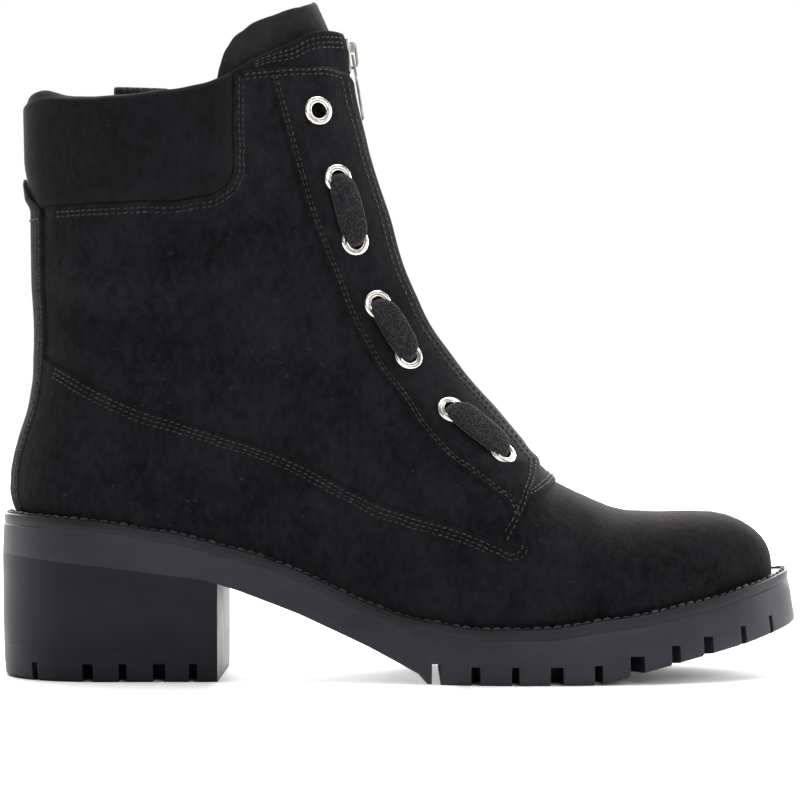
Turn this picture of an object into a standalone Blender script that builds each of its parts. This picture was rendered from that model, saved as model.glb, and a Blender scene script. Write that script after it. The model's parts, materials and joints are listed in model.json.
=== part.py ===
"""Zip ankle boot for the right foot: suede upper, padded collar, front zip, lace bars, lugged sole.

The toe points to +X and the outer (lateral) side to -Y; the boot stands on z = 0.
Sizes are in millimetres, and MM turns them into metres where a mesh is made.
"""

import math
from functools import lru_cache

import bmesh
import bpy
import numpy as np
from mathutils import Matrix, Vector

# Driving sizes
MM = 0.001
GAP = 0.3
WALL = 2.2
WELT_THICK = 3.4
INSOLE_THICK = 3.0
COLLAR_THICK = 3.0
EYESTAY_THICK = 1.4
BACKSTAY_THICK = 1.2
BACKSTAY_PLACES = (16.0, 11.0, 5.5)
TAB_THICK = 1.1
TONGUE_THICK = 2.4
TONGUE_LEAN = 0.45
RIM_LIFT = 0.6
OVERLAY_LIFT = 0.4
TONGUE_CLEAR = 0.5
TOE_TIP = 123.4
TOE_ROUND = 52.0
HEEL_END = -125.3
HEEL_BREAST = -58.0
LIFT_HEIGHT = 10.5
THROAT_X = 46.5
SLOT_HALF = 5.0
LATERAL = -1
MEDIAL = 1


class Table:
    """Sizes in rows under named columns, read smoothly between the rows."""

    def __init__(self, columns, rows):
        self.names = columns.split()
        self.rows = np.array(rows, dtype=float)

    def column(self, name):
        return self.rows[:, self.names.index(name)]

    def at(self, name, place):
        return hermite(self.rows[:, 0], self.column(name), place)

    def straight(self, name, place):
        return np.interp(place, self.rows[:, 0], self.column(name))


def hermite(knots, values, place):
    """Smooth curve through the values, with slopes taken from the neighbouring rows."""
    slopes = np.gradient(values, knots)
    place = np.clip(place, knots[0], knots[-1])
    cell = np.clip(np.searchsorted(knots, place, side="right") - 1, 0, len(knots) - 2)
    width = knots[cell + 1] - knots[cell]
    share = (place - knots[cell]) / width
    start = values[cell] + share * width * slopes[cell]
    end = values[cell + 1] - (1 - share) * width * slopes[cell + 1]
    ease = share * share * (3 - 2 * share)
    return start + (end - start) * ease


# Top of the welt in the side view, where the upper sits
SEAT = Table("x z", (
    (-131, 53.4),
    (-109, 52.2),
    (-83, 49.0),
    (-58, 43.8),
    (-32, 35.4),
    (-6, 24.0),
    (13, 19.3),
    (36, 17.6),
    (64, 20.2),
    (90, 24.4),
    (112, 29.8),
    (131, 35.6),
))

# Underside of the outsole in the side view: heel seat, waist, tread and toe spring
TREAD = Table("x z", (
    (-131, 40.6),
    (-95, 36.8),
    (-62, 32.6),
    (-52, 29.4),
    (-32, 21.8),
    (-10, 11.8),
    (6, 3.4),
    (9, 0.0),
    (60, 0.0),
    (66, 0.9),
    (74, 2.9),
    (90, 6.8),
    (112, 12.0),
    (131, 17.6),
))

# Sole edge beyond the upper's lower edge, and how far the side flares out towards the floor
SOLE_EDGE = Table("x margin flare", (
    (-126, 5.2, 0.3),
    (-95, 4.0, 0.3),
    (-58, 3.6, 0.3),
    (-20, 3.4, 0.6),
    (25, 4.2, 0.8),
    (70, 4.6, 1.0),
    (105, 5.2, 1.6),
    (124, 5.7, 2.1),
))

# Plan of the foot: centre line, half widths, height of the widest place and squareness above it
FOOT = Table("x centre lateral medial widest square", (
    (-130, 0.0, 30.0, 29.5, 0.30, 2.2),
    (-70, 0.0, 31.0, 30.0, 0.30, 2.2),
    (-30, 0.2, 33.0, 28.8, 0.28, 2.2),
    (0, 0.9, 38.0, 30.6, 0.28, 2.1),
    (25, 2.0, 43.6, 36.8, 0.28, 2.1),
    (46, 3.0, 45.2, 39.8, 0.28, 2.2),
    (70, 4.2, 43.2, 38.6, 0.30, 2.3),
    (92, 5.0, 39.6, 36.4, 0.32, 2.4),
    (124, 5.4, 37.0, 35.0, 0.34, 2.4),
))
FEATHER_TUCK = 0.035

# Level sections of the shaft: half widths, length of the rounding at the back and of the front taper
SHAFT = Table("z lateral medial back_round taper", (
    (40, 29.4, 28.8, 30, 60),
    (60, 29.8, 29.2, 31, 60),
    (80, 30.4, 29.8, 33, 60),
    (105, 30.8, 30.0, 37, 64),
    (130, 32.0, 31.0, 42, 70),
    (155, 33.5, 32.5, 46, 73),
    (185, 35.2, 34.2, 48, 75),
    (225, 36.4, 35.4, 48, 75),
))
NOSE_SHARE = 0.36
NOSE_LENGTH = 11.0
ANKLE = (0.0, 75.0)
ANKLE_LEAN = (-0.6, 0.8)
ANKLE_BLEND = 36.0

# Side-view lines of the upper: front from toe to topline, back from heel to topline, topline from the front
FRONT_ROWS = (
    (123.0, 37.8),
    (120.6, 44.0),
    (115.0, 49.4),
    (106.4, 52.6),
    (94.0, 53.3),
    (80.0, 53.6),
    (67.0, 55.7),
    (55.5, 60.4),
    (46.5, 67.4),
    (39.4, 76.2),
    (31.4, 86.0),
    (16.4, 104.6),
    (5.4, 123.8),
    (-3.6, 150.4),
    (-11.8, 176.6),
    (-17.0, 199.0),
    (-18.2, 211.0),
)
BACK_ROWS = (
    (-126.8, 58.0),
    (-127.1, 64.0),
    (-126.4, 70.5),
    (-124.6, 77.5),
    (-120.5, 93.0),
    (-119.7, 104.0),
    (-120.4, 130.0),
    (-120.8, 158.0),
    (-121.4, 187.0),
)
TOPLINE_ROWS = (
    (-18.2, 211.0),
    (-23.5, 210.6),
    (-35.6, 205.2),
    (-48.0, 198.8),
    (-57.0, 193.4),
    (-66.0, 190.2),
    (-77.0, 188.4),
    (-92.0, 187.0),
    (-104.0, 187.2),
    (-114.0, 188.0),
    (-121.4, 187.0),
)

# Rear edge of the eyestays and their upper edge in the side view, from top to bottom and front to back
EYESTAY_REAR = (
    (-43.0, 197.0),
    (-37.8, 178.9),
    (-33.3, 162.4),
    (-27.6, 145.0),
    (-21.3, 129.0),
    (-13.8, 111.4),
    (0.8, 89.6),
    (9.2, 77.8),
    (22.0, 66.5),
    (33.7, 58.3),
)
EYESTAY_TOP_Z = 197.4
EYESTAY_EDGE = 6.2

# Eyelet centres in the side view, top to bottom, and which of them each lace bar joins
EYELETS = (
    (-27.0, 183.3),
    (-20.6, 161.4),
    (-15.1, 141.2),
    (-7.7, 120.6),
    (2.3, 103.5),
    (16.1, 85.8),
    (32.2, 72.0),
)
LACE_BARS = ((2, 3), (4, 5), (6, 7))
EYELET_MAJOR = 3.45
EYELET_MINOR = 1.2
EYELET_FLAT = 0.6

# Half of a lace bar from the eyelet's centre: reach along the bar, height over the eyestay, half sizes
LACE_HALF = Table("reach height half_width half_thick", (
    (0.0, 1.15, 1.5, 0.7),
    (1.5, 2.9, 1.7, 0.8),
    (3.6, 3.7, 2.5, 1.0),
    (6.6, 3.9, 4.0, 1.1),
))

# Lug gaps: place along the sole and width; the first tread gap runs right across
TREAD_GAPS = (
    (24.0, 2.3),
    (36.5, 2.0),
    (49.6, 3.7),
    (62.8, 2.4),
    (75.2, 4.2),
    (87.8, 2.8),
    (98.6, 3.2),
    (110.6, 2.0),
    (120.6, 1.6),
)
CROSS_GAP = (11.6, 2.4)
HEEL_GAPS = ((-117.0, 2.3), (-99.4, 3.4), (-88.2, 2.4), (-76.6, 3.9), (-65.8, 2.5))
LUG_DEPTH = 5.8
LUG_REACH = 15.0
HEEL_LUG_REACH = 11.0
CENTRE_GROOVES = ((30.2, 24.0), (43.0, 27.0), (56.2, 27.0), (69.3, 23.0), (81.2, 18.0), (93.0, 12.0))

# Zip hardware on the front line
SLIDER_Z = 203.6
SLIDER_SIZE = (1.4, 8.4, 11.6)
BAIL_HALF_WIDTH = 1.1
BAIL_SPAN = (-4.4, 4.8)
BAIL_RISE = 2.6
BAIL_ROUND = 2.0
BAIL_EYE = (-3.4, 1.1)
BAIL_EYE_RISE = 1.6
BAIL_EYE_ROUND = 0.7
PULL_THICK = 1.0
PULL_BAR = 1.0
PULL_LENGTH = 21.5
PULL_LEAN = math.radians(-3.5)

# Looks: colour, roughness and metallic value of each material
FINISHES = {
    "black suede": ((0.012, 0.012, 0.013), 0.95, 0.0),
    "black padded suede": ((0.015, 0.015, 0.016), 0.92, 0.0),
    "charcoal rubber": ((0.045, 0.044, 0.047), 0.55, 0.0),
    "dark welt rubber": ((0.03, 0.03, 0.031), 0.65, 0.0),
    "black lining": ((0.014, 0.013, 0.014), 0.9, 0.0),
    "nickel": ((0.62, 0.61, 0.59), 0.28, 1.0),
    "black zip": ((0.02, 0.02, 0.021), 0.6, 0.0),
    "black knitted lace": ((0.024, 0.022, 0.024), 0.85, 0.0),
}


class Line:
    """Side-view curve through rows of x and z, read by its share of length, by x or by z."""

    def __init__(self, rows):
        rows = np.array(rows, dtype=float)
        chord = np.concatenate([[0.0], np.cumsum(np.linalg.norm(np.diff(rows, axis=0), axis=1))])
        fine = np.linspace(0.0, chord[-1], 800)
        self.points = np.stack([hermite(chord, rows[:, k], fine) for k in (0, 1)], axis=1)
        steps = np.linalg.norm(np.diff(self.points, axis=0), axis=1)
        run = np.concatenate([[0.0], np.cumsum(steps)])
        self.length = run[-1]
        self.share = run / run[-1]

    def at(self, share):
        return np.stack([np.interp(share, self.share, self.points[:, k]) for k in (0, 1)], axis=-1)

    def read(self, place, known, wanted):
        order = np.argsort(self.points[:, known])
        return np.interp(place, self.points[order, known], self.points[order, wanted])

    def z_at(self, x):
        return self.read(x, 0, 1)

    def x_at(self, z):
        return self.read(z, 1, 0)

    def share_at_x(self, x):
        order = np.argsort(self.points[:, 0])
        return float(np.interp(x, self.points[order, 0], self.share[order]))


def rim_z(x):
    return float(SEAT.at("z", x)) + RIM_LIFT


FRONT = Line(((TOE_TIP, rim_z(TOE_TIP)),) + FRONT_ROWS)
BACK = Line(((HEEL_END, rim_z(HEEL_END)),) + BACK_ROWS)
TOPLINE = Line(TOPLINE_ROWS)
FEATHER = Line([(x, rim_z(x)) for x in np.linspace(TOE_TIP, HEEL_END, 40)])
REAR_EDGE = Line(EYESTAY_REAR)
THROAT = FRONT.share_at_x(THROAT_X)


def round_end(share, square=2.0):
    """Quarter superellipse: 0 at the end of a form and 1 from share 1 on."""
    share = np.clip(share, 0.0, 1.0)
    return (1.0 - (1.0 - share) ** square) ** (1.0 / square)


def smoothstep(value):
    value = np.clip(value, 0.0, 1.0)
    return value * value * (3.0 - 2.0 * value)


def shaft_weight(x, z):
    lean = (x - ANKLE[0]) * ANKLE_LEAN[0] + (z - ANKLE[1]) * ANKLE_LEAN[1]
    return smoothstep((lean + ANKLE_BLEND) / (2.0 * ANKLE_BLEND))


def half_width(x, z, side):
    """Half width of the upper at a place in the side view, from the centre line to one side."""
    name = "lateral" if side == LATERAL else "medial"
    seat = SEAT.at("z", x)
    height = np.clip((z - seat) / np.maximum(FRONT.z_at(x) - seat, 1.0), 0.0, 1.0)
    widest = FOOT.at("widest", x)
    below = 1.0 - FEATHER_TUCK * (1.0 - np.minimum(height / widest, 1.0)) ** 2
    square = FOOT.at("square", x)
    above = np.clip((height - widest) / (1.0 - widest), 0.0, 1.0)
    foot = FOOT.at(name, x) * round_end((TOE_TIP - x) / TOE_ROUND)
    foot = foot * below * (1.0 - above ** square) ** (1.0 / square)
    from_front = np.maximum(FRONT.x_at(z) - x, 0.0)
    from_back = np.maximum(x - BACK.x_at(z), 0.0)
    nose = round_end(from_front / NOSE_LENGTH)
    taper = np.sin(0.5 * math.pi * np.clip(from_front / SHAFT.at("taper", z), 0.0, 1.0))
    shaft = SHAFT.at(name, z) * (NOSE_SHARE * nose + (1.0 - NOSE_SHARE) * taper)
    shaft = shaft * round_end(from_back / SHAFT.at("back_round", z))
    weight = shaft_weight(x, z)
    return foot * (1.0 - weight) + shaft * weight


def centre_y(x, z):
    return FOOT.at("centre", x) * (1.0 - shaft_weight(x, z))


def side_view(row, column):
    """Place in the side view of a row share (sole to topline) and column shares (front to back)."""
    across = column[:, None]
    straight = (1.0 - across) * FRONT.at(row) + across * BACK.at(row)
    bent = (1.0 - row) * FEATHER.at(column) + row * TOPLINE.at(column)
    low = (1.0 - across) * FEATHER.at(0.0) + across * FEATHER.at(1.0)
    high = (1.0 - across) * TOPLINE.at(0.0) + across * TOPLINE.at(1.0)
    return straight + bent - (1.0 - row) * low - row * high


@lru_cache(maxsize=None)
def row_curve(row, rise, side):
    """One side of a row of the upper, front to back, with the length run along it."""
    column = 0.5 - 0.5 * np.cos(np.linspace(0.0, math.pi, 161))
    place = side_view(min(row, 1.0), column)
    x, z = place[:, 0], place[:, 1] + rise
    y = centre_y(x, z) + side * half_width(x, z, side)
    points = np.stack([x - TONGUE_LEAN * rise, y, z], axis=1)
    run = np.concatenate([[0.0], np.cumsum(np.linalg.norm(np.diff(points, axis=0), axis=1))])
    return points, run


def row_length(row, side):
    return row_curve(row, 0.0, side)[1][-1]


def surface(row, along, rise=0.0):
    """Point of the upper's outer surface; along is the length from the front line, lateral negative."""
    side = LATERAL if along < 0 else MEDIAL
    points, run = row_curve(row, rise, side)
    return np.array([np.interp(abs(along), run, points[:, k]) for k in range(3)])


def normal(row, along, rise=0.0):
    """Outward direction of the upper's surface."""
    across = surface(row, along + 0.4, rise) - surface(row, along - 0.4, rise)
    if rise > 0.0 or row >= 1.0:
        up = surface(row, along, rise + 0.4) - surface(row, along, max(rise - 0.4, 0.0))
    else:
        up = surface(min(row + 0.003, 1.0), along) - surface(max(row - 0.003, 0.0), along)
    out = np.cross(across, up)
    return out / np.linalg.norm(out)


def wall_place(x, z, side):
    """Point and outward direction of the upper's surface at a place in the side view."""
    step = 0.4
    slopes = []
    for dx, dz in ((step, 0.0), (0.0, step)):
        wide = half_width(x + dx, z + dz, side) - half_width(x - dx, z - dz, side)
        shift = centre_y(x + dx, z + dz) - centre_y(x - dx, z - dz)
        slopes.append(float(wide + side * shift) / (2.0 * step))
    out = Vector((-slopes[0], side, -slopes[1])).normalized()
    return Vector((x, float(centre_y(x, z) + side * half_width(x, z, side)), z)), out


# Plan of the sole, from the upper's lower edge
def feather_loop():
    """Closed outline of the upper's lower edge: from the toe round the lateral side to the heel and back."""
    middle = 0.5 * (TOE_TIP + HEEL_END)
    reach = 0.5 * (TOE_TIP - HEEL_END)
    stations = middle + reach * np.cos(np.linspace(0.0, math.pi, 41))
    sides = []
    for side in (LATERAL, MEDIAL):
        points, _ = row_curve(0.0, 0.0, side)
        order = np.argsort(points[:, 0])
        sides.append(np.stack([stations, np.interp(stations, points[order, 0], points[order, 1])], axis=1))
    return np.concatenate([sides[0], sides[1][-2:0:-1]])


FEATHER_LOOP = feather_loop()
HALF_COUNT = 41


def loop_normals(loop):
    ahead = np.roll(loop, -1, axis=0) - np.roll(loop, 1, axis=0)
    out = np.stack([-ahead[:, 1], ahead[:, 0]], axis=1)
    return out / np.linalg.norm(out, axis=1, keepdims=True)


FEATHER_NORMALS = loop_normals(FEATHER_LOOP)


def sole_loop(flared, extra=0.0):
    """Outline of the sole at its upper edge, or with the flare at its lower edge."""
    push = SOLE_EDGE.at("margin", FEATHER_LOOP[:, 0]) + extra
    if flared:
        push = push + SOLE_EDGE.at("flare", FEATHER_LOOP[:, 0])
    return FEATHER_LOOP + FEATHER_NORMALS * push[:, None]


def inset_loop(inset):
    return FEATHER_LOOP - FEATHER_NORMALS * inset


LOWER_EDGE = sole_loop(True)
SHIFT = np.array([
    -0.5 * (LOWER_EDGE[:, 0].max() + LOWER_EDGE[:, 0].min()),
    -0.5 * (LOWER_EDGE[:, 1].max() + LOWER_EDGE[:, 1].min()),
    0.0,
])


# Blender objects
def clear_scene():
    for thing in list(bpy.data.objects):
        bpy.data.objects.remove(thing, do_unlink=True)


def new_collection(name):
    collection = bpy.data.collections.new(name)
    bpy.context.scene.collection.children.link(collection)
    return collection


def finish_material(name):
    found = bpy.data.materials.get(name)
    if found:
        return found
    colour, roughness, metallic = FINISHES[name]
    material = bpy.data.materials.new(name)
    material.use_nodes = True
    shader = material.node_tree.nodes["Principled BSDF"]
    shader.inputs["Base Color"].default_value = (*colour, 1.0)
    shader.inputs["Roughness"].default_value = roughness
    shader.inputs["Metallic"].default_value = metallic
    material.diffuse_color = (*colour, 1.0)
    return material


def add_object(name, mesh, finish, collection):
    thing = bpy.data.objects.new(name, mesh)
    collection.objects.link(thing)
    if finish:
        mesh.materials.append(finish_material(finish))
    return thing


def mesh_object(name, points, faces, finish, collection):
    """Object from points in millimetres, its faces set to point outwards."""
    mesh = bpy.data.meshes.new(name)
    mesh.from_pydata((np.asarray(points) + SHIFT) * MM, [], faces)
    thing = add_object(name, mesh, finish, collection)
    mesh.update()
    return thing


def turn_outward(thing):
    """Point the faces outwards and split the bent ones into triangles."""
    shape = bmesh.new()
    shape.from_mesh(thing.data)
    bmesh.ops.recalc_face_normals(shape, faces=shape.faces)
    bmesh.ops.triangulate(shape, faces=shape.faces)
    shape.to_mesh(thing.data)
    shape.free()


def solidify(thing, thickness):
    shell = thing.modifiers.new("wall", "SOLIDIFY")
    shell.thickness = abs(thickness) * MM
    shell.offset = 1.0 if thickness > 0 else -1.0
    shell.use_even_offset = True


def cut(thing, cutter, operation="DIFFERENCE"):
    change = thing.modifiers.new(operation.lower(), "BOOLEAN")
    change.operation = operation
    change.object = cutter
    change.solver = "EXACT"


def hide_cutter(thing):
    thing.hide_render = True
    thing.display_type = "WIRE"


def grid_faces(rows, columns, closed=False, skip=None):
    faces = []
    count = columns if closed else columns - 1
    for r in range(rows - 1):
        for c in range(count):
            if skip and skip(r, c):
                continue
            nxt = (c + 1) % columns
            faces.append((r * columns + c, r * columns + nxt, (r + 1) * columns + nxt, (r + 1) * columns + c))
    return faces


def patch(name, places, lift, thickness, finish, collection):
    """Solid between two forms of the upper's surface, over a grid of (row, along, rise) places."""
    rows, columns = len(places), len(places[0])
    points = [surface(*place) + normal(*place) * lift for line in places for place in line]
    thing = mesh_object(name, points, grid_faces(rows, columns), finish, collection)
    solidify(thing, thickness)
    return thing


# Upper and the pieces on it
FRONT_COLUMNS = (SLOT_HALF, 8.0, 11.5, 16.0, 21.5, 28.0, 35.0, 44.0)
BACK_COLUMNS = (0.0, 6.0, 13.0, 21.0, 31.0, 44.0, 62.0)
MIDDLE_COUNT = 8
COLLAR_COLUMNS = (6.0, 13.0, 21.0, 31.0, 44.0, 62.0, 76.0, 86.0)
COLLAR_SEAM_Z = 153.4


def column_places(length):
    """Lengths along a row from the front line to the back seam, close set at both rounded ends."""
    back = [length - place for place in reversed(BACK_COLUMNS)]
    middle = np.linspace(FRONT_COLUMNS[-1], back[0], MIDDLE_COUNT + 1)[1:-1]
    return [*FRONT_COLUMNS, *middle, *back]


def upper_rows():
    """Row shares from the sole to the topline, close set at the toe and at the throat's lower end."""
    steps = np.linspace(0.0, 1.0, 13)[:-1]
    vamp = [THROAT * (step - 0.075 * math.sin(2.0 * math.pi * step)) for step in steps]
    shaft = [THROAT + (1.0 - THROAT) * step ** 1.15 for step in np.linspace(0.0, 1.0, 14)]
    return vamp + shaft, len(vamp)


def build_upper(parts):
    rows, throat_row = upper_rows()
    points = []
    columns = 0
    for row in rows:
        lateral = [-place for place in reversed(column_places(row_length(row, LATERAL)))]
        medial = column_places(row_length(row, MEDIAL))[:-1]
        line = [*lateral, 0.0, *medial]
        columns = len(line)
        middle = len(lateral)
        points += [surface(row, place) for place in line]
    slot = (middle - 1, middle)
    faces = grid_faces(len(rows), columns, True, lambda r, c: r >= throat_row and c in slot)
    upper = mesh_object("upper", points, faces, "black suede", parts)
    loose = bmesh.new()
    loose.from_mesh(upper.data)
    bmesh.ops.delete(loose, geom=[v for v in loose.verts if not v.link_faces], context="VERTS")
    loose.to_mesh(upper.data)
    loose.free()
    solidify(upper, -WALL)


def row_at_height(z, along_at, low):
    """Row share from low up where a column of places, given by its length at each row, reaches a height."""
    rows = np.linspace(low, 1.0, 160)
    heights = [surface(row, along_at(row))[2] for row in rows]
    return float(np.interp(z, heights, rows))


def build_collar(parts):
    columns = [(MEDIAL, place) for place in reversed(COLLAR_COLUMNS)]
    columns += [(LATERAL, 0.0)] + [(LATERAL, place) for place in COLLAR_COLUMNS]
    places = []
    for side, place in columns:
        def along_at(row):
            return side * (row_length(row, side) - place)
        low = row_at_height(COLLAR_SEAM_Z, along_at, 0.6)
        rows = np.linspace(low, 1.0, 6)
        places.append([(row, along_at(row), 0.0) for row in rows])
    patch("collar", list(zip(*places)), OVERLAY_LIFT, COLLAR_THICK, "black padded suede", parts)


def build_backstay(parts):
    top = row_at_height(COLLAR_SEAM_Z - 0.5, lambda row: -row_length(row, LATERAL), 0.6)
    rows = [0.012, *[row for row in upper_rows()[0] if 0.02 < row < top - 0.01], top]
    places = []
    for row in rows:
        lateral, medial = row_length(row, LATERAL), row_length(row, MEDIAL)
        line = [medial - place for place in BACKSTAY_PLACES] + [-lateral]
        line += [place - lateral for place in reversed(BACKSTAY_PLACES)]
        places.append([(row, place, 0.0) for place in line])
    patch("backstay", places, OVERLAY_LIFT, BACKSTAY_THICK, "black suede", parts)


def rear_length(row, side):
    """Length along a row from the front line to the eyestay's rear edge."""
    points, run = row_curve(row, 0.0, side)
    behind = points[:, 0] - REAR_EDGE.x_at(points[:, 2])
    return float(run[np.argmax(behind <= 0.0)])


def build_eyestay(name, side, parts):
    low = THROAT + 0.012
    rows, throat_row = upper_rows()
    middle = [row for row in rows[throat_row:] if low + 0.01 < row < 0.88]

    def columns(row):
        rear = rear_length(row, side)
        inner = [place for place in FRONT_COLUMNS if place > EYESTAY_EDGE]
        inner = [min(place, rear - 1.4 * (len(inner) - k)) for k, place in enumerate(inner)]
        return [EYESTAY_EDGE, *inner, rear]

    count = len(columns(low))
    tops = [row_at_height(EYESTAY_TOP_Z, lambda row: side * columns(row)[k], 0.85) for k in range(count)]
    places = []
    for row in [low, *middle]:
        places.append([(row, side * place, 0.0) for place in columns(row)])
    for share in (0.5, 1.0):
        line = []
        for k, top in enumerate(tops):
            row = middle[-1] + (top - middle[-1]) * share
            line.append((row, side * columns(row)[k], 0.0))
        places.append(line)
    if side == LATERAL:
        places = [line[::-1] for line in places]
    patch(name, places, OVERLAY_LIFT, EYESTAY_THICK, "black suede", parts)


def build_throat_tab(parts):
    half, reach = 15.0, 8.5 / FRONT.length
    across = np.linspace(-half, half, 9)
    places = []
    for step in np.linspace(0.0, 1.0, 3):
        line = []
        for along in across:
            low = THROAT - 0.006 - reach * (1.0 - 0.55 * (along / half) ** 2)
            line.append((low + (THROAT - 0.006 - low) * step, along, 0.0))
        places.append(line)
    patch("throat_tab", places, OVERLAY_LIFT, TAB_THICK, "black suede", parts)


def build_tongue(parts):
    rows, throat_row = upper_rows()

    def columns(half):
        inner = [place for place in FRONT_COLUMNS if place < 24.0][::2]
        right = [*inner, 0.5 * (inner[-1] + half), half]
        return [-place for place in reversed(right)] + [0.0] + right

    places = []
    for row in rows[throat_row - 2:]:
        half = 27.0 + 27.0 * smoothstep((row - 0.6) / 0.4)
        places.append([(row, along, 0.0) for along in columns(half)])
    for rise, half in ((3.5, 53.5), (6.8, 50.5), (9.4, 44.0)):
        places.append([(1.0, along, rise) for along in columns(half)])
    lift = -(WALL + GAP + TONGUE_CLEAR + TONGUE_THICK)
    patch("tongue", places, lift, TONGUE_THICK, "black suede", parts)


def build_zip(parts):
    half = SLOT_HALF - 0.5
    places = []
    rows, throat_row = upper_rows()
    for row in [THROAT + 0.004, *rows[throat_row + 1:-1], 0.99]:
        places.append([(row, along, 0.0) for along in (-half, 0.0, half)])
    patch("zip", places, -WALL + 0.2, WALL - 0.6, "black zip", parts)


# Sole
def strip_solid(name, lower, upper, low_z, high_z, finish, collection, count=HALF_COUNT):
    """Solid between two outlines, its top and bottom ruled across from the lateral to the medial side."""
    size = len(lower)
    points = [(x, y, low_z(x)) for x, y in lower] + [(x, y, high_z(x)) for x, y in upper]
    faces = []
    for j in range(size):
        nxt = (j + 1) % size
        faces.append((j, nxt, size + nxt, size + j))
    for base in (0, size):
        for j in range(count - 1):
            ring = (j, j + 1, (size - j - 1) % size, (size - j) % size)
            faces.append(tuple(dict.fromkeys(base + k for k in ring)))
    thing = mesh_object(name, points, faces, finish, collection)
    turn_outward(thing)
    return thing


def seat_z(x):
    return float(SEAT.at("z", x))


def tread_z(x):
    return float(TREAD.straight("z", x))


def ring_solid(name, outer, inner, low_z, high_z, finish, collection):
    """Ring between two outlines, such as the welt."""
    size = len(outer)
    points = []
    for loop, height in ((outer, low_z), (outer, high_z), (inner, high_z), (inner, low_z)):
        points += [(x, y, height(x)) for x, y in loop]
    faces = []
    for k in range(4):
        low, high = k * size, ((k + 1) % 4) * size
        for j in range(size):
            nxt = (j + 1) % size
            faces.append((low + j, low + nxt, high + nxt, high + j))
    thing = mesh_object(name, points, faces, finish, collection)
    turn_outward(thing)
    return thing


def loop_place(loop, x, side):
    """Point and inward direction of an outline at a place along the sole."""
    half = loop[:HALF_COUNT] if side == LATERAL else np.roll(loop[::-1], 1, axis=0)[:HALF_COUNT]
    order = np.argsort(half[:, 0])
    step = 2.0
    y = [float(np.interp(x + d, half[order, 0], half[order, 1])) for d in (-step, 0.0, step)]
    slope = (y[2] - y[0]) / (2.0 * step)
    inward = Vector((slope * side, -side, 0.0)).normalized()
    return Vector((x, y[1], 0.0)), inward


def gap_cutters(name, loop, gaps, longest, height, cutters):
    """Joined blocks that cut the gaps between lugs, each square to the outline."""
    shape = bmesh.new()
    for x, width in gaps:
        for side in (LATERAL, MEDIAL):
            edge, inward = loop_place(loop, x, side)
            centre = float(FOOT.at("centre", x))
            reach = min(longest, 0.55 * abs(edge.y - centre))
            top = tread_z(x) + height if height else LUG_DEPTH
            low = -4.0
            along = Vector((inward.y, -inward.x, 0.0))
            middle = edge + inward * (0.5 * reach - 2.5)
            middle.z = 0.5 * (top + low)
            turn = Matrix((along, inward, (0.0, 0.0, 1.0))).transposed().to_4x4()
            size = Matrix.Diagonal((width, reach + 5.0, top - low, 1.0))
            place = Matrix.Translation((middle + Vector(SHIFT)) * MM)
            bmesh.ops.create_cube(shape, size=MM, matrix=place @ turn @ size)
    return cutter_from(name, shape, cutters)


def groove_cutters(name, grooves, cutters):
    """Joined blocks that cut grooves across the middle of the tread."""
    shape = bmesh.new()
    for x, length in grooves:
        top = tread_z(x) + LUG_DEPTH - 1.5
        centre = Vector((x, float(FOOT.at("centre", x)), 0.5 * (top - 4.0)))
        size = Matrix.Diagonal((2.6, length, top + 4.0, 1.0))
        place = Matrix.Translation((centre + Vector(SHIFT)) * MM)
        bmesh.ops.create_cube(shape, size=MM, matrix=place @ size)
    return cutter_from(name, shape, cutters)


def cutter_from(name, shape, cutters):
    mesh = bpy.data.meshes.new(name)
    shape.to_mesh(mesh)
    shape.free()
    thing = add_object(name, mesh, None, cutters)
    hide_cutter(thing)
    return thing


def build_sole(parts, cutters):
    top_edge = sole_loop(False)
    outsole = strip_solid(
        "outsole", LOWER_EDGE, top_edge, tread_z, lambda x: seat_z(x) - WELT_THICK - GAP,
        "charcoal rubber", parts,
    )
    cut(outsole, gap_cutters("tread_gaps", LOWER_EDGE, TREAD_GAPS, LUG_REACH, LUG_DEPTH, cutters))
    cut(outsole, groove_cutters("cross_gap", ((CROSS_GAP[0], 120.0),), cutters))
    cut(outsole, groove_cutters("centre_grooves", CENTRE_GROOVES, cutters))
    ring_solid(
        "welt", sole_loop(False, -0.3), inset_loop(7.0), lambda x: seat_z(x) - WELT_THICK, seat_z,
        "dark welt rubber", parts,
    )
    floor = inset_loop(WALL + 1.5)
    strip_solid(
        "insole", floor, floor, lambda x: seat_z(x) + GAP, lambda x: seat_z(x) + GAP + INSOLE_THICK,
        "black lining", parts,
    )


def heel_loop(extra):
    """Rear part of the sole's outline, closed straight across at the heel breast."""
    loop = sole_loop(True, extra)
    lateral = loop[:HALF_COUNT]
    medial = np.roll(loop[::-1], 1, axis=0)[:HALF_COUNT]
    sides = []
    for half in (lateral, medial):
        order = np.argsort(half[:, 0])
        breast = (HEEL_BREAST, float(np.interp(HEEL_BREAST, half[order, 0], half[order, 1])))
        rear = half[half[:, 0] < HEEL_BREAST - 1.0]
        sides.append(np.concatenate([[breast], rear]))
    return np.concatenate([sides[0], sides[1][-2::-1]])


def heel_solid(name, low_loop, high_loop, low_z, high_z, parts):
    size = len(low_loop)
    points = [(x, y, low_z(x)) for x, y in low_loop] + [(x, y, high_z(x)) for x, y in high_loop]
    faces = [(j, (j + 1) % size, size + (j + 1) % size, size + j) for j in range(size)]
    for base in (0, size):
        for j in range(size // 2):
            ring = (j, j + 1, size - 2 - j, size - 1 - j)
            face = tuple(dict.fromkeys(base + k for k in ring))
            if len(face) > 2:
                faces.append(face)
    thing = mesh_object(name, points, faces, "charcoal rubber", parts)
    turn_outward(thing)
    return thing


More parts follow.
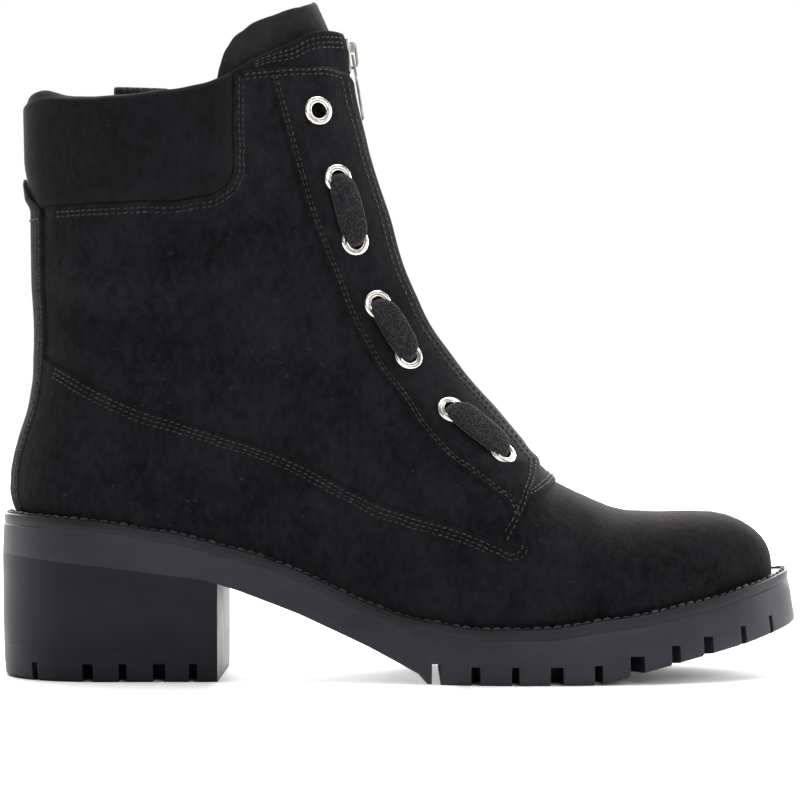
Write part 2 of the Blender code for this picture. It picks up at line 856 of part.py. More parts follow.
def build_heel(parts, cutters):
    heel_solid(
        "heel", heel_loop(-0.6), heel_loop(0.0),
        lambda x: LIFT_HEIGHT + GAP, lambda x: tread_z(x) - GAP, parts,
    )
    lift = heel_solid(
        "heel_lift", heel_loop(-1.6), heel_loop(-0.4), lambda x: 0.0, lambda x: LIFT_HEIGHT, parts
    )
    cut(lift, gap_cutters("heel_gaps", sole_loop(True, -1.0), HEEL_GAPS, HEEL_LUG_REACH, None, cutters))


# Eyelets and laces
def eyelet_place(index, side):
    x, z = EYELETS[index - 1]
    return wall_place(x, z, side)


def build_eyelets(parts):
    base = OVERLAY_LIFT + EYESTAY_THICK + GAP + EYELET_MINOR * EYELET_FLAT
    for side, word in ((LATERAL, "lateral"), (MEDIAL, "medial")):
        for index in range(1, len(EYELETS) + 1):
            spot, out = eyelet_place(index, side)
            bpy.ops.mesh.primitive_torus_add(
                major_radius=EYELET_MAJOR * MM, minor_radius=EYELET_MINOR * MM,
                major_segments=10, minor_segments=5,
            )
            ring = bpy.context.active_object
            ring.name = f"eyelet_{word}_{index}"
            ring.data.name = ring.name
            ring.data.transform(Matrix.Diagonal((1.0, 1.0, EYELET_FLAT, 1.0)))
            ring.data.materials.append(finish_material("nickel"))
            ring.data.shade_smooth()
            for old in list(ring.users_collection):
                old.objects.unlink(ring)
            parts.objects.link(ring)
            ring.location = (spot + out * base + Vector(SHIFT)) * MM
            ring.rotation_euler = out.to_track_quat("Z", "Y").to_euler()


def lace_stations(length):
    """Reach, height and half sizes along a whole bar, from one eyelet to the other."""
    near = [tuple(row) for row in LACE_HALF.rows]
    middle = (0.5 * length, 4.1, 4.3, 1.1)
    far = [(length - row[0], *row[1:]) for row in reversed(near)]
    return [*near, middle, *far]


def build_lace_bar(name, start, end, side, parts):
    first, first_out = eyelet_place(start, side)
    last, last_out = eyelet_place(end, side)
    run = last - first
    sides = 8
    points = []
    stations = lace_stations(run.length)
    base = OVERLAY_LIFT + EYESTAY_THICK
    centres = []
    for reach, height, _, _ in stations:
        share = reach / run.length
        out = first_out.lerp(last_out, share).normalized()
        centres.append((first.lerp(last, share) + out * (base + height), out))
    for k, (_, _, half_wide, half_thick) in enumerate(stations):
        spot, out = centres[k]
        ahead = centres[min(k + 1, len(centres) - 1)][0] - centres[max(k - 1, 0)][0]
        across = ahead.cross(out).normalized()
        up = across.cross(ahead).normalized()
        for step in range(sides):
            angle = 2.0 * math.pi * step / sides
            points.append(spot + across * half_wide * math.cos(angle) + up * half_thick * math.sin(angle))
    count = len(stations)
    faces = grid_faces(count, sides, closed=True)
    faces.append(tuple(range(sides)))
    faces.append(tuple((count - 1) * sides + k for k in range(sides)))
    bar = mesh_object(name, [tuple(p) for p in points], faces, "black knitted lace", parts)
    turn_outward(bar)


# Zip slider and pull tab
def front_frame(z):
    """Matrix at the front line: x outwards, y across, z up along the zip."""
    x = float(FRONT.x_at(z))
    low = Vector((float(FRONT.x_at(z - 4.0)), 0.0, z - 4.0))
    high = Vector((float(FRONT.x_at(z + 4.0)), 0.0, z + 4.0))
    up = (high - low).normalized()
    across = Vector((0.0, 1.0, 0.0))
    out = across.cross(up)
    turn = Matrix((out, across, up)).transposed().to_4x4()
    return Matrix.Translation((Vector((x, 0.0, z)) + Vector(SHIFT)) * MM) @ turn


def outline_mesh(name, loops, thickness):
    """Flat plate from a 2D curve's outer loop and holes, made a closed mesh."""
    curve = bpy.data.curves.new(name, "CURVE")
    curve.dimensions = "2D"
    curve.fill_mode = "BOTH"
    curve.extrude = 0.5 * thickness * MM
    for loop in loops:
        spline = curve.splines.new("POLY")
        spline.points.add(len(loop) - 1)
        for point, (x, y) in zip(spline.points, loop):
            point.co = (x * MM, y * MM, 0.0, 1.0)
        spline.use_cyclic_u = True
    holder = bpy.data.objects.new(name, curve)
    bpy.context.scene.collection.objects.link(holder)
    bpy.context.view_layer.update()
    mesh = bpy.data.meshes.new_from_object(holder.evaluated_get(bpy.context.evaluated_depsgraph_get()))
    bpy.data.objects.remove(holder, do_unlink=True)
    shape = bmesh.new()
    shape.from_mesh(mesh)
    bmesh.ops.remove_doubles(shape, verts=shape.verts, dist=0.00001)
    bmesh.ops.recalc_face_normals(shape, faces=shape.faces)
    shape.to_mesh(mesh)
    shape.free()
    return mesh


def rounded_box(low_x, high_x, low_y, high_y, radius, steps=3):
    """Rectangle's outline with rounded corners."""
    corners = (
        (high_x - radius, high_y - radius, 0.0),
        (low_x + radius, high_y - radius, 0.5 * math.pi),
        (low_x + radius, low_y + radius, math.pi),
        (high_x - radius, low_y + radius, 1.5 * math.pi),
    )
    loop = []
    for x, y, start in corners:
        for step in range(steps + 1):
            angle = start + 0.5 * math.pi * step / steps
            loop.append((x + radius * math.cos(angle), y + radius * math.sin(angle)))
    return loop


def arch_outline(low_x, high_x, span, radius, steps=4):
    """Arch standing on low_x, with its two upper corners rounded."""
    low_y, high_y = span
    loop = [(low_x, low_y)]
    for y, start in ((low_y + radius, 1.5 * math.pi), (high_y - radius, 0.0)):
        for step in range(steps + 1):
            angle = start + 0.5 * math.pi * step / steps
            loop.append((high_x - radius + radius * math.cos(angle), y + radius * math.sin(angle)))
    loop.append((low_x, high_y))
    return loop


def build_slider(parts, cutters):
    frame = front_frame(SLIDER_Z)
    thick, wide, tall = SLIDER_SIZE
    shape = bmesh.new()
    bmesh.ops.create_cube(shape, size=MM, matrix=Matrix.Diagonal((thick, wide, tall, 1.0)))
    mesh = bpy.data.meshes.new("zip_slider")
    shape.to_mesh(mesh)
    shape.free()
    slider = add_object("zip_slider", mesh, "nickel", parts)
    slider.matrix_world = frame @ Matrix.Translation((0.5 * thick * MM, 0.0, 0.0))
    soften = slider.modifiers.new("edges", "BEVEL")
    soften.width = 0.5 * MM
    soften.segments = 2
    arch = arch_outline(-0.5, BAIL_RISE, BAIL_SPAN, BAIL_ROUND)
    hole = arch_outline(-0.2, BAIL_EYE_RISE, BAIL_EYE, BAIL_EYE_ROUND)
    mesh = outline_mesh("zip_bail", (arch, hole), 2.0 * BAIL_HALF_WIDTH)
    bail = add_object("zip_bail", mesh, "nickel", cutters)
    on_plate = Matrix.Translation((thick * MM, 0.0, 0.0))
    bail.matrix_world = frame @ on_plate @ Matrix.Rotation(0.5 * math.pi, 4, "X")
    hide_cutter(bail)
    cut(slider, bail, "UNION")


def build_pull(parts):
    """Pull tab with a long eye round the slider's arch; its origin is on the hinge."""
    frame = front_frame(SLIDER_Z)
    hinge = SLIDER_SIZE[0] + 0.5 * BAIL_EYE_RISE
    half_bar = 0.5 * PULL_BAR
    eye_end = BAIL_SPAN[0] - 1.3
    plate = [
        (2.4, half_bar),
        (3.0, 0.1),
        (3.0, eye_end - 1.4),
        (2.0, eye_end - 2.8),
        (2.0, eye_end - 5.0),
        (2.9, eye_end - 7.0),
        (3.1, -PULL_LENGTH + 2.6),
        (2.2, -PULL_LENGTH + 0.7),
        (0.9, -PULL_LENGTH),
    ]
    outline = plate + [(-x, y) for x, y in reversed(plate)]
    eye = rounded_box(-1.8, 1.8, eye_end, -half_bar, 0.5)
    mesh = outline_mesh("zip_pull", (outline, eye), PULL_THICK)
    pull = add_object("zip_pull", mesh, "nickel", parts)
    upright = Matrix(((0.0, 0.0, 1.0), (1.0, 0.0, 0.0), (0.0, 1.0, 0.0))).to_4x4()
    lean = Matrix.Rotation(PULL_LEAN, 4, "Y")
    pull.matrix_world = frame @ Matrix.Translation((hinge * MM, 0.0, 0.0)) @ lean @ upright


# Pull loop inside the collar on the medial side
LOOP_X = -89.6
LOOP_WIDTH = 18.6
LOOP_TOP = 196.4
LOOP_DEPTH = 20.0
LOOP_TAPE = 1.3
LOOP_OPENING = 1.6
LOOP_CLEAR = 1.6


def build_pull_loop(parts):
    """Folded tape: an upside-down U hung on the collar's inner wall."""
    level = LOOP_TOP - LOOP_DEPTH
    spot, out = wall_place(LOOP_X, level, MEDIAL)
    inside = spot - out * (WALL + GAP + LOOP_CLEAR)
    outer = LOOP_OPENING + 2.0 * LOOP_TAPE
    arc = [math.pi * step / 8.0 for step in range(9)]
    bend = LOOP_TOP - 0.5 * outer - level

    def bow(width):
        return [(0.5 * width * math.cos(angle), bend + 0.5 * width * math.sin(angle)) for angle in arc]

    loop = bow(outer)
    hollow = bow(LOOP_OPENING)[::-1]
    outline = [(0.5 * outer, 0.0), *loop, (-0.5 * outer, 0.0), (-0.5 * LOOP_OPENING, 0.0), *hollow]
    outline.append((0.5 * LOOP_OPENING, 0.0))
    mesh = outline_mesh("pull_loop", (outline,), LOOP_WIDTH)
    tape = add_object("pull_loop", mesh, "black knitted lace", parts)
    level_out = Vector((out.x, out.y, 0.0)).normalized()
    up = Vector((0.0, 0.0, 1.0))
    turn = Matrix((level_out, up, level_out.cross(up))).transposed().to_4x4()
    middle = inside - level_out * 0.5 * outer
    tape.matrix_world = Matrix.Translation((middle + Vector(SHIFT)) * MM) @ turn


def build_boot():
    clear_scene()
    parts = new_collection("zip ankle boot")
    cutters = new_collection("cutters")
    build_sole(parts, cutters)
    build_heel(parts, cutters)
    build_upper(parts)
    build_collar(parts)
    build_backstay(parts)
    build_eyestay("eyestay_lateral", LATERAL, parts)
    build_eyestay("eyestay_medial", MEDIAL, parts)
    build_throat_tab(parts)
    build_tongue(parts)
    build_zip(parts)
    build_slider(parts, cutters)
    build_pull(parts)
    build_pull_loop(parts)
    build_eyelets(parts)
    for side, word in ((LATERAL, "lateral"), (MEDIAL, "medial")):
        for number, (start, end) in enumerate(LACE_BARS, 1):
            build_lace_bar(f"lace_bar_{word}_{number}", start, end, side, parts)


build_boot()
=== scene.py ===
"""Looks of the zip ankle boot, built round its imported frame.

The toe points to +X, the outer (lateral) side to -Y, and the boot stands on z = 0. Sizes are
millimetres in the boot's design frame; a mesh is shifted to the row's frame and turned into metres
where it is made.
"""

from __future__ import annotations

import json
import logging
import math
from dataclasses import dataclass
from enum import Enum
from functools import cached_property, partial
from typing import Callable, Optional, Sequence

import bpy
import numpy as np
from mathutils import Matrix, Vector

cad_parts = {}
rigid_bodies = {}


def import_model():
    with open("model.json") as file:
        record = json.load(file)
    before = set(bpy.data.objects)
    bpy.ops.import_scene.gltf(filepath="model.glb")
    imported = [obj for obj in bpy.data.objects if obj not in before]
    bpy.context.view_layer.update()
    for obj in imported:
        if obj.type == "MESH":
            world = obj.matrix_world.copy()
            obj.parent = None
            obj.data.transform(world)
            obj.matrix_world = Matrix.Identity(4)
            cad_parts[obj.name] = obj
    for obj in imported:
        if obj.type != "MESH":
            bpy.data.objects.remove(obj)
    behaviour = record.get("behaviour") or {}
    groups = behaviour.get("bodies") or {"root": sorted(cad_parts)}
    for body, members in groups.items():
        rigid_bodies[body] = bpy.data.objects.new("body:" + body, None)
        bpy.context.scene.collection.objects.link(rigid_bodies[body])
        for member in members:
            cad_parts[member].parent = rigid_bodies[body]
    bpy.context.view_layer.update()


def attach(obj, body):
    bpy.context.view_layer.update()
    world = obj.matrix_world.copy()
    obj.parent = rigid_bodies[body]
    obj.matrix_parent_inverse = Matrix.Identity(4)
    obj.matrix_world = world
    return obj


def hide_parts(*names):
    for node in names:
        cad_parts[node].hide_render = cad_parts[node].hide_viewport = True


LOG = logging.getLogger("zip_ankle_boot")
Array = np.ndarray
# Points and outward directions along a row of stitches
StitchRow = tuple[Array, Array]
MM = 0.001
BOOT = "boot"
PULL = "pull"


class Side(Enum):
    """The two sides of the boot, with the sign of their Y."""

    LATERAL = -1
    MEDIAL = 1

    @property
    def word(self) -> str:
        """Plain word for names."""
        return self.name.lower()


# Numbers read along curves


def hermite(place: Array, knots: Array, values: Array) -> Array:
    """Smooth curve through values at knots, its slopes taken from the neighbouring knots.

    Args:
        place: Places to read.
        knots: Increasing places.
        values: Value at each knot.

    Returns:
        The values there.
    """
    slopes = np.gradient(values, knots)
    place = np.clip(place, knots[0], knots[-1])
    cell = np.clip(np.searchsorted(knots, place, side="right") - 1, 0, len(knots) - 2)
    width = knots[cell + 1] - knots[cell]
    share = (place - knots[cell]) / width
    start = values[cell] + share * width * slopes[cell]
    end = values[cell + 1] - (1 - share) * width * slopes[cell + 1]
    return start + (end - start) * share * share * (3 - 2 * share)


def smoothstep(value: Array) -> Array:
    """Ease from 0 to 1 as value goes from 0 to 1."""
    value = np.clip(value, 0.0, 1.0)
    return value * value * (3.0 - 2.0 * value)


def round_end(share: Array, square: float = 2.0) -> Array:
    """Quarter superellipse: 0 at the end of a form and 1 from share 1 on."""
    share = np.clip(share, 0.0, 1.0)
    return (1.0 - (1.0 - share) ** square) ** (1.0 / square)


def unit(vectors: Array) -> Array:
    """Vectors brought to length 1."""
    return vectors / np.maximum(np.linalg.norm(vectors, axis=-1, keepdims=True), 1e-9)


def run_length(points: Array) -> Array:
    """Length run along a line of points, from 0."""
    steps = np.linalg.norm(np.diff(points, axis=0), axis=1)
    return np.concatenate([[0.0], np.cumsum(steps)])


def sampled(place: Array, run: Array, points: Array, reader: Callable[..., Array] = np.interp) -> Array:
    """A line of points read at places along its run, coordinate by coordinate."""
    return np.stack([reader(place, run, column) for column in points.T], axis=-1)


@dataclass(frozen=True)
class Table:
    """Sizes in rows under named columns; the first column is the place that is read."""

    columns: str
    rows: tuple[tuple[float, ...], ...]

    def column(self, name: str) -> Array:
        """One column as an array."""
        return np.array(self.rows, dtype=float)[:, self.columns.split().index(name)]

    def at(self, name: str, place: Array) -> Array:
        """A column read smoothly between the rows."""
        return hermite(place, np.array(self.rows, dtype=float)[:, 0], self.column(name))

    def straight(self, name: str, place: Array) -> Array:
        """A column read along straight lines between the rows."""
        return np.interp(place, np.array(self.rows, dtype=float)[:, 0], self.column(name))


class Line:
    """Side-view curve through rows of x and z."""

    FINE = 1200

    def __init__(self, rows: Sequence[tuple[float, float]]) -> None:
        """Lay a smooth curve through the rows by their chord length.

        Args:
            rows: Places of x and z in order along the curve.
        """
        places = np.array(rows, dtype=float)
        chord = run_length(places)
        fine = np.linspace(0.0, chord[-1], self.FINE)
        self.points = sampled(fine, chord, places, hermite)
        run = run_length(self.points)
        self.length = float(run[-1])
        self.share = run / run[-1]

    def at(self, share: Array) -> Array:
        """Places at shares of the length."""
        return sampled(share, self.share, self.points)

    def read(self, place: Array, known: int, wanted: Array) -> Array:
        """A value along the line where one coordinate is known."""
        order = np.argsort(self.points[:, known])
        return np.interp(place, self.points[order, known], wanted[order])

    def z_at(self, x: Array) -> Array:
        """Height at x."""
        return self.read(x, 0, self.points[:, 1])

    def x_at(self, z: Array) -> Array:
        """Place along the boot at a height."""
        return self.read(z, 1, self.points[:, 0])

    def share_at_x(self, x: float) -> float:
        """Share of the length at x."""
        return float(self.read(np.array(x), 0, self.share))


# The boot's own sizes, as its solids have them to about a millimetre

SEAT = Table("x z", (
    (-131, 53.4), (-109, 52.2), (-83, 49.0), (-58, 43.8), (-32, 35.4), (-6, 24.0),
    (13, 19.3), (36, 17.6), (64, 20.2), (90, 24.4), (112, 29.8), (131, 35.6),
))
TREAD = Table("x z", (
    (-131, 40.6), (-95, 36.8), (-62, 32.6), (-52, 29.4), (-32, 21.8), (-10, 11.8), (6, 3.4),
    (9, 0.0), (60, 0.0), (66, 0.9), (74, 2.9), (90, 6.8), (112, 12.0), (131, 17.6),
))
SOLE_EDGE = Table("x margin flare", (
    (-126, 5.2, 0.3), (-95, 4.0, 0.3), (-58, 3.6, 0.3), (-20, 3.4, 0.6),
    (25, 4.2, 0.8), (70, 4.6, 1.0), (105, 5.2, 1.6), (124, 5.7, 2.1),
))
FOOT = Table("x centre lateral medial widest square", (
    (-130, 0.0, 30.0, 29.5, 0.30, 2.2),
    (-70, 0.0, 31.0, 30.0, 0.30, 2.2),
    (-30, 0.2, 33.0, 28.8, 0.28, 2.2),
    (0, 0.9, 38.0, 30.6, 0.28, 2.1),
    (25, 2.0, 43.6, 36.8, 0.28, 2.1),
    (46, 3.0, 45.2, 39.8, 0.28, 2.2),
    (70, 4.2, 43.2, 38.6, 0.30, 2.3),
    (92, 5.0, 39.6, 36.4, 0.32, 2.4),
    (124, 5.4, 37.0, 35.0, 0.34, 2.4),
))
SHAFT = Table("z lateral medial back_round taper", (
    (40, 29.4, 28.8, 30, 60),
    (60, 29.8, 29.2, 31, 60),
    (80, 30.4, 29.8, 33, 60),
    (105, 30.8, 30.0, 37, 64),
    (130, 32.0, 31.0, 42, 70),
    (155, 33.5, 32.5, 46, 73),
    (185, 35.2, 34.2, 48, 75),
    (225, 36.4, 35.4, 48, 75),
))
FRONT_ROWS = (
    (123.35, 36.6), (123.0, 39.0), (122.1, 41.6), (120.7, 44.2), (118.2, 46.9), (115.0, 49.3),
    (111.0, 51.3), (106.4, 52.7), (100.4, 53.3), (94.0, 53.4), (80.0, 53.5), (72.5, 54.3),
    (67.0, 56.1), (61.3, 58.6), (55.5, 61.3), (46.5, 67.4), (39.4, 76.2), (31.4, 86.0), (16.4, 104.6),
    (5.4, 123.8), (-3.6, 150.4), (-11.8, 176.6), (-17.0, 199.0), (-18.2, 211.0),
)
BACK_ROWS = (
    (-126.8, 58.0), (-127.1, 64.0), (-126.4, 70.5), (-124.6, 77.5), (-120.5, 93.0),
    (-119.7, 104.0), (-120.4, 130.0), (-120.8, 158.0), (-121.4, 187.0),
)
TOPLINE_ROWS = (
    (-18.2, 211.0), (-23.5, 210.6), (-35.6, 205.2), (-48.0, 198.8), (-57.0, 193.4), (-66.0, 190.2),
    (-77.0, 188.4), (-92.0, 187.0), (-104.0, 187.2), (-114.0, 188.0), (-121.4, 187.0),
)
EYELETS = (
    (-27.0, 183.3), (-20.6, 161.4), (-15.1, 141.2), (-7.7, 120.6), (2.3, 103.5), (16.1, 85.8),
    (32.2, 72.0),
)
WALL = 2.2
GAP = 0.3
TOE_TIP = 123.4
TOE_ROUND = 52.0
HEEL_END = -125.3
RIM_LIFT = 0.6
FEATHER_TUCK = 0.035
NOSE_SHARE = 0.36
NOSE_LENGTH = 11.0
ANKLE = (0.0, 75.0)
ANKLE_LEAN = (-0.6, 0.8)
ANKLE_BLEND = 36.0
THROAT_X = 46.5
SLOT_HALF = 5.0
TONGUE_LEAN = 0.45
PIERCED_RADIUS = 3.0
PIERCED_DEPTH = 8.0
FACING_TOP = 1.8
# How far the turned edges beside the zip stand up, by row
ZIP_LIP = Table("row rise", (
    (0.84, 0.0), (0.87, 0.3), (0.9, 0.7), (0.935, 1.0), (0.95, 1.3), (0.972, 1.9), (0.985, 1.4),
    (1.0, 0.3),
))
ZIP_LIP_REACH = 9.0

# Soft creases on the upper in the side view: a line from one end to the other, half width and depth
# (negative depth is a ridge). The shaft sags a little under the collar and the vamp has begun to flex.
CREASES = Table("x1 z1 x2 z2 half_width depth", (
    (-112, 136, -46, 149, 5.0, 1.2),
    (-110, 126, -42, 140, 5.0, -2.2),
    (-106, 115, -48, 127, 5.5, 1.4),
    (-40, 108, -14, 121, 5.0, 0.6),
    (-62, 96, -20, 104, 7.0, -0.5),
    (-50, 86, -14, 92, 5.0, 0.5),
    (58, 55, 50, 34, 5.0, 0.7),
    (68, 52, 62, 32, 5.5, -0.4),
    (78, 52, 73, 33, 5.0, 0.5),
))


class BootForm:
    """Outer surface of the upper as a fine table of points over rows and columns.

    A row share runs from the sole (0) to the topline (1) and on into the tongue above it. A column
    share u runs round the boot: -1 at the back seam, lateral side, 0 at the front line and back to
    the back seam at 1. The side view of a row and column is a blend of the boot's four side-view
    lines, and the width there comes from the foot's plan below and the shaft's sections above.
    """

    ROWS = 221
    COLUMNS = 301
    FINE_COLUMNS = 801
    FEATHER_KNOTS = 40
    TOP_ROW = 1.06
    RISE_UNIT = 250.0
    CREASE_BOW = 0.06
    CREASE_FADE = 0.3
    CREASE_FRONT = 9.0
    STEP = 0.002
    TRIES = 8
    LONGEST_STEP = 0.02
    LEAST_AREA = 1e-3
    FRONT_LIMIT = 1e-4

    def __init__(self) -> None:
        """Work out the table, press the creases into it and find its normals."""
        self.front = Line(((TOE_TIP, self.rim(TOE_TIP)),) + FRONT_ROWS)
        self.back = Line(((HEEL_END, self.rim(HEEL_END)),) + BACK_ROWS)
        self.topline = Line(TOPLINE_ROWS)
        self.feather = Line([(x, self.rim(x)) for x in np.linspace(TOE_TIP, HEEL_END, self.FEATHER_KNOTS)])
        self.throat = self.front.share_at_x(THROAT_X)
        self.rows = np.linspace(0.0, self.TOP_ROW, self.ROWS)
        self.lengths: dict[Side, Array] = {}
        self.grid = self.lay_grid()
        self.normals = self.outward(self.grid)
        self.grid = self.grid - self.normals * self.crease_depth()[..., None]
        self.normals = self.outward(self.grid)

    @staticmethod
    def rim(x: float) -> float:
        """Height of the upper's lower edge."""
        return float(SEAT.at("z", x)) + RIM_LIFT

    @staticmethod
    def shaft_weight(x: Array, z: Array) -> Array:
        """0 on the foot and 1 on the shaft, eased across the ankle."""
        lean = (x - ANKLE[0]) * ANKLE_LEAN[0] + (z - ANKLE[1]) * ANKLE_LEAN[1]
        return smoothstep((lean + ANKLE_BLEND) / (2.0 * ANKLE_BLEND))

    def half_width(self, x: Array, z: Array, side: Side) -> Array:
        """Half width from the centre line to one side at places in the side view.

        On the foot it is the plan's width, tucked in at the sole and closed over the top as a
        superellipse. On the shaft it is a sine from the front line, with a rounded nose, and a quarter
        circle at the back. The two are blended across the ankle.

        Args:
            x: Places along the boot.
            z: Heights.
            side: The side.

        Returns:
            The half widths.
        """
        seat = SEAT.at("z", x)
        height = np.clip((z - seat) / np.maximum(self.front.z_at(x) - seat, 1.0), 0.0, 1.0)
        widest = FOOT.at("widest", x)
        below = 1.0 - FEATHER_TUCK * (1.0 - np.minimum(height / widest, 1.0)) ** 2
        square = FOOT.at("square", x)
        above = np.clip((height - widest) / (1.0 - widest), 0.0, 1.0)
        foot = FOOT.at(side.word, x) * round_end((TOE_TIP - x) / TOE_ROUND)
        foot = foot * below * (1.0 - above**square) ** (1.0 / square)
        from_front = np.maximum(self.front.x_at(z) - x, 0.0)
        from_back = np.maximum(x - self.back.x_at(z), 0.0)
        nose = round_end(from_front / NOSE_LENGTH)
        taper = np.sin(0.5 * math.pi * np.clip(from_front / SHAFT.at("taper", z), 0.0, 1.0))
        shaft = SHAFT.at(side.word, z) * (NOSE_SHARE * nose + (1.0 - NOSE_SHARE) * taper)
        shaft = shaft * round_end(from_back / SHAFT.at("back_round", z))
        weight = self.shaft_weight(x, z)
        return foot * (1.0 - weight) + shaft * weight

    def side_view(self, row: Array, column: Array) -> Array:
        """Side-view places as a blend of the four lines, with the blend of their corners taken off.

        Args:
            row: Rows from the sole to the topline.
            column: Columns from the front to the back.

        Returns:
            x and z by row and column.
        """
        across = column[None, :, None]
        up = row[:, None, None]
        straight = (1.0 - across) * self.front.at(row)[:, None] + across * self.back.at(row)[:, None]
        bent = (1.0 - up) * self.feather.at(column)[None] + up * self.topline.at(column)[None]
        low = (1.0 - across) * self.feather.at(0.0) + across * self.feather.at(1.0)
        high = (1.0 - across) * self.topline.at(0.0) + across * self.topline.at(1.0)
        return straight + bent - (1.0 - up) * low - up * high

    def lay_grid(self) -> Array:
        """Points of the table, evenly spaced along each row on each side.

        Returns:
            The points by row and column.
        """
        column = 0.5 - 0.5 * np.cos(np.linspace(0.0, math.pi, self.FINE_COLUMNS))
        place = self.side_view(np.minimum(self.rows, 1.0), column)
        rise = (np.maximum(self.rows - 1.0, 0.0) * self.RISE_UNIT)[:, None]
        x, z = place[..., 0], place[..., 1] + rise
        centre = FOOT.at("centre", x) * (1.0 - self.shaft_weight(x, z))
        even = np.linspace(0.0, 1.0, self.COLUMNS)
        halves = {}
        for side in Side:
            y = centre + side.value * self.half_width(x, z, side)
            points = np.stack([x - TONGUE_LEAN * rise, y, z], axis=-1)
            steps = np.linalg.norm(np.diff(points, axis=1), axis=-1)
            run = np.concatenate([np.zeros((self.ROWS, 1)), np.cumsum(steps, axis=1)], axis=1)
            self.lengths[side] = run[:, -1]
            share = run / run[:, -1:]
            halves[side] = np.stack([sampled(even, share[r], points[r]) for r in range(self.ROWS)])
        return np.concatenate([halves[Side.LATERAL][:, :0:-1], halves[Side.MEDIAL][:, :-1]], axis=1)

    @staticmethod
    def outward(grid: Array) -> Array:
        """Outward direction at each point of the table."""
        along = np.roll(grid, -1, axis=1) - np.roll(grid, 1, axis=1)
        return unit(np.cross(along, np.gradient(grid, axis=0)))

    def crease_depth(self) -> Array:
        """Depth of the creases over the table: soft troughs round their side-view lines.

        Each trough is a bell across its slightly bowed line, eased at both ends and gone at the front.

        Returns:
            The depths by row and column.
        """
        x, z = self.grid[..., 0], self.grid[..., 2]
        depth = np.zeros(x.shape)
        for x1, z1, x2, z2, half_width, deep in CREASES.rows:
            run = np.array([x2 - x1, z2 - z1])
            along = ((x - x1) * run[0] + (z - z1) * run[1]) / (run @ run)
            bow = self.CREASE_BOW * np.linalg.norm(run) * np.sin(math.pi * np.clip(along, 0.0, 1.0))
            off = ((x - x1) * run[1] - (z - z1) * run[0]) / np.linalg.norm(run) - bow
            start, end = (smoothstep(part / self.CREASE_FADE + 0.3) for part in (along, 1.0 - along))
            depth += deep * np.exp(-((off / half_width) ** 2)) * start * end
        return depth * smoothstep((self.front.z_at(x) - z) / self.CREASE_FRONT + 0.2)

    def read(self, table: Array, row: Array, u: Array) -> Array:
        """Table read at rows and columns by Catmull-Rom curves both ways, round in u.

        Args:
            table: Values by row and column.
            row: Row shares.
            u: Column shares.

        Returns:
            The values there.
        """
        row, u = np.broadcast_arrays(np.asarray(row, dtype=float), np.asarray(u, dtype=float))
        steps = np.arange(-1, 3)
        weights = []
        indices = []
        for place in (row / self.TOP_ROW * (self.ROWS - 1), (u + 1.0) * (self.COLUMNS - 1)):
            low = np.floor(place).astype(int)
            f = (place - low)[..., None]
            weights.append(np.concatenate([
                -0.5 * f + f**2 - 0.5 * f**3,
                1.0 - 2.5 * f**2 + 1.5 * f**3,
                0.5 * f + 2.0 * f**2 - 1.5 * f**3,
                -0.5 * f**2 + 0.5 * f**3,
            ], axis=-1))
            indices.append(low[..., None] + steps)
        rows = np.clip(indices[0], 0, self.ROWS - 1)[..., :, None]
        columns = np.mod(indices[1], table.shape[1])[..., None, :]
        weight = weights[0][..., :, None] * weights[1][..., None, :]
        return np.sum(table[rows, columns] * weight[..., None], axis=(-3, -2))

    def normal(self, row: Array, u: Array) -> Array:
        """Outward directions."""
        return unit(self.read(self.normals, row, u))

    def point(self, row: Array, u: Array, lift: Array = 0.0) -> Array:
        """Points, lifted off the surface along its normal."""
        lift = np.asarray(lift, dtype=float)[..., None]
        return self.read(self.grid, row, u) + self.normal(row, u) * lift

    def length(self, row: Array, side: Side) -> Array:
        """Length of one side of a row, from the front line to the back seam."""
        return np.interp(row, self.rows, self.lengths[side])

    def share(self, row: Array, along: Array) -> Array:
        """Column share of a length along a row from the front line, lateral negative."""
        lateral = self.length(row, Side.LATERAL)
        return along / np.where(along < 0.0, lateral, self.length(row, Side.MEDIAL))

    def from_back(self, row: Array, along: Array) -> Array:
        """Column share of a length along a row from the back seam, lateral negative."""
        lateral = -1.0 - along / self.length(row, Side.LATERAL)
        return np.where(along < 0.0, lateral, 1.0 - along / self.length(row, Side.MEDIAL))

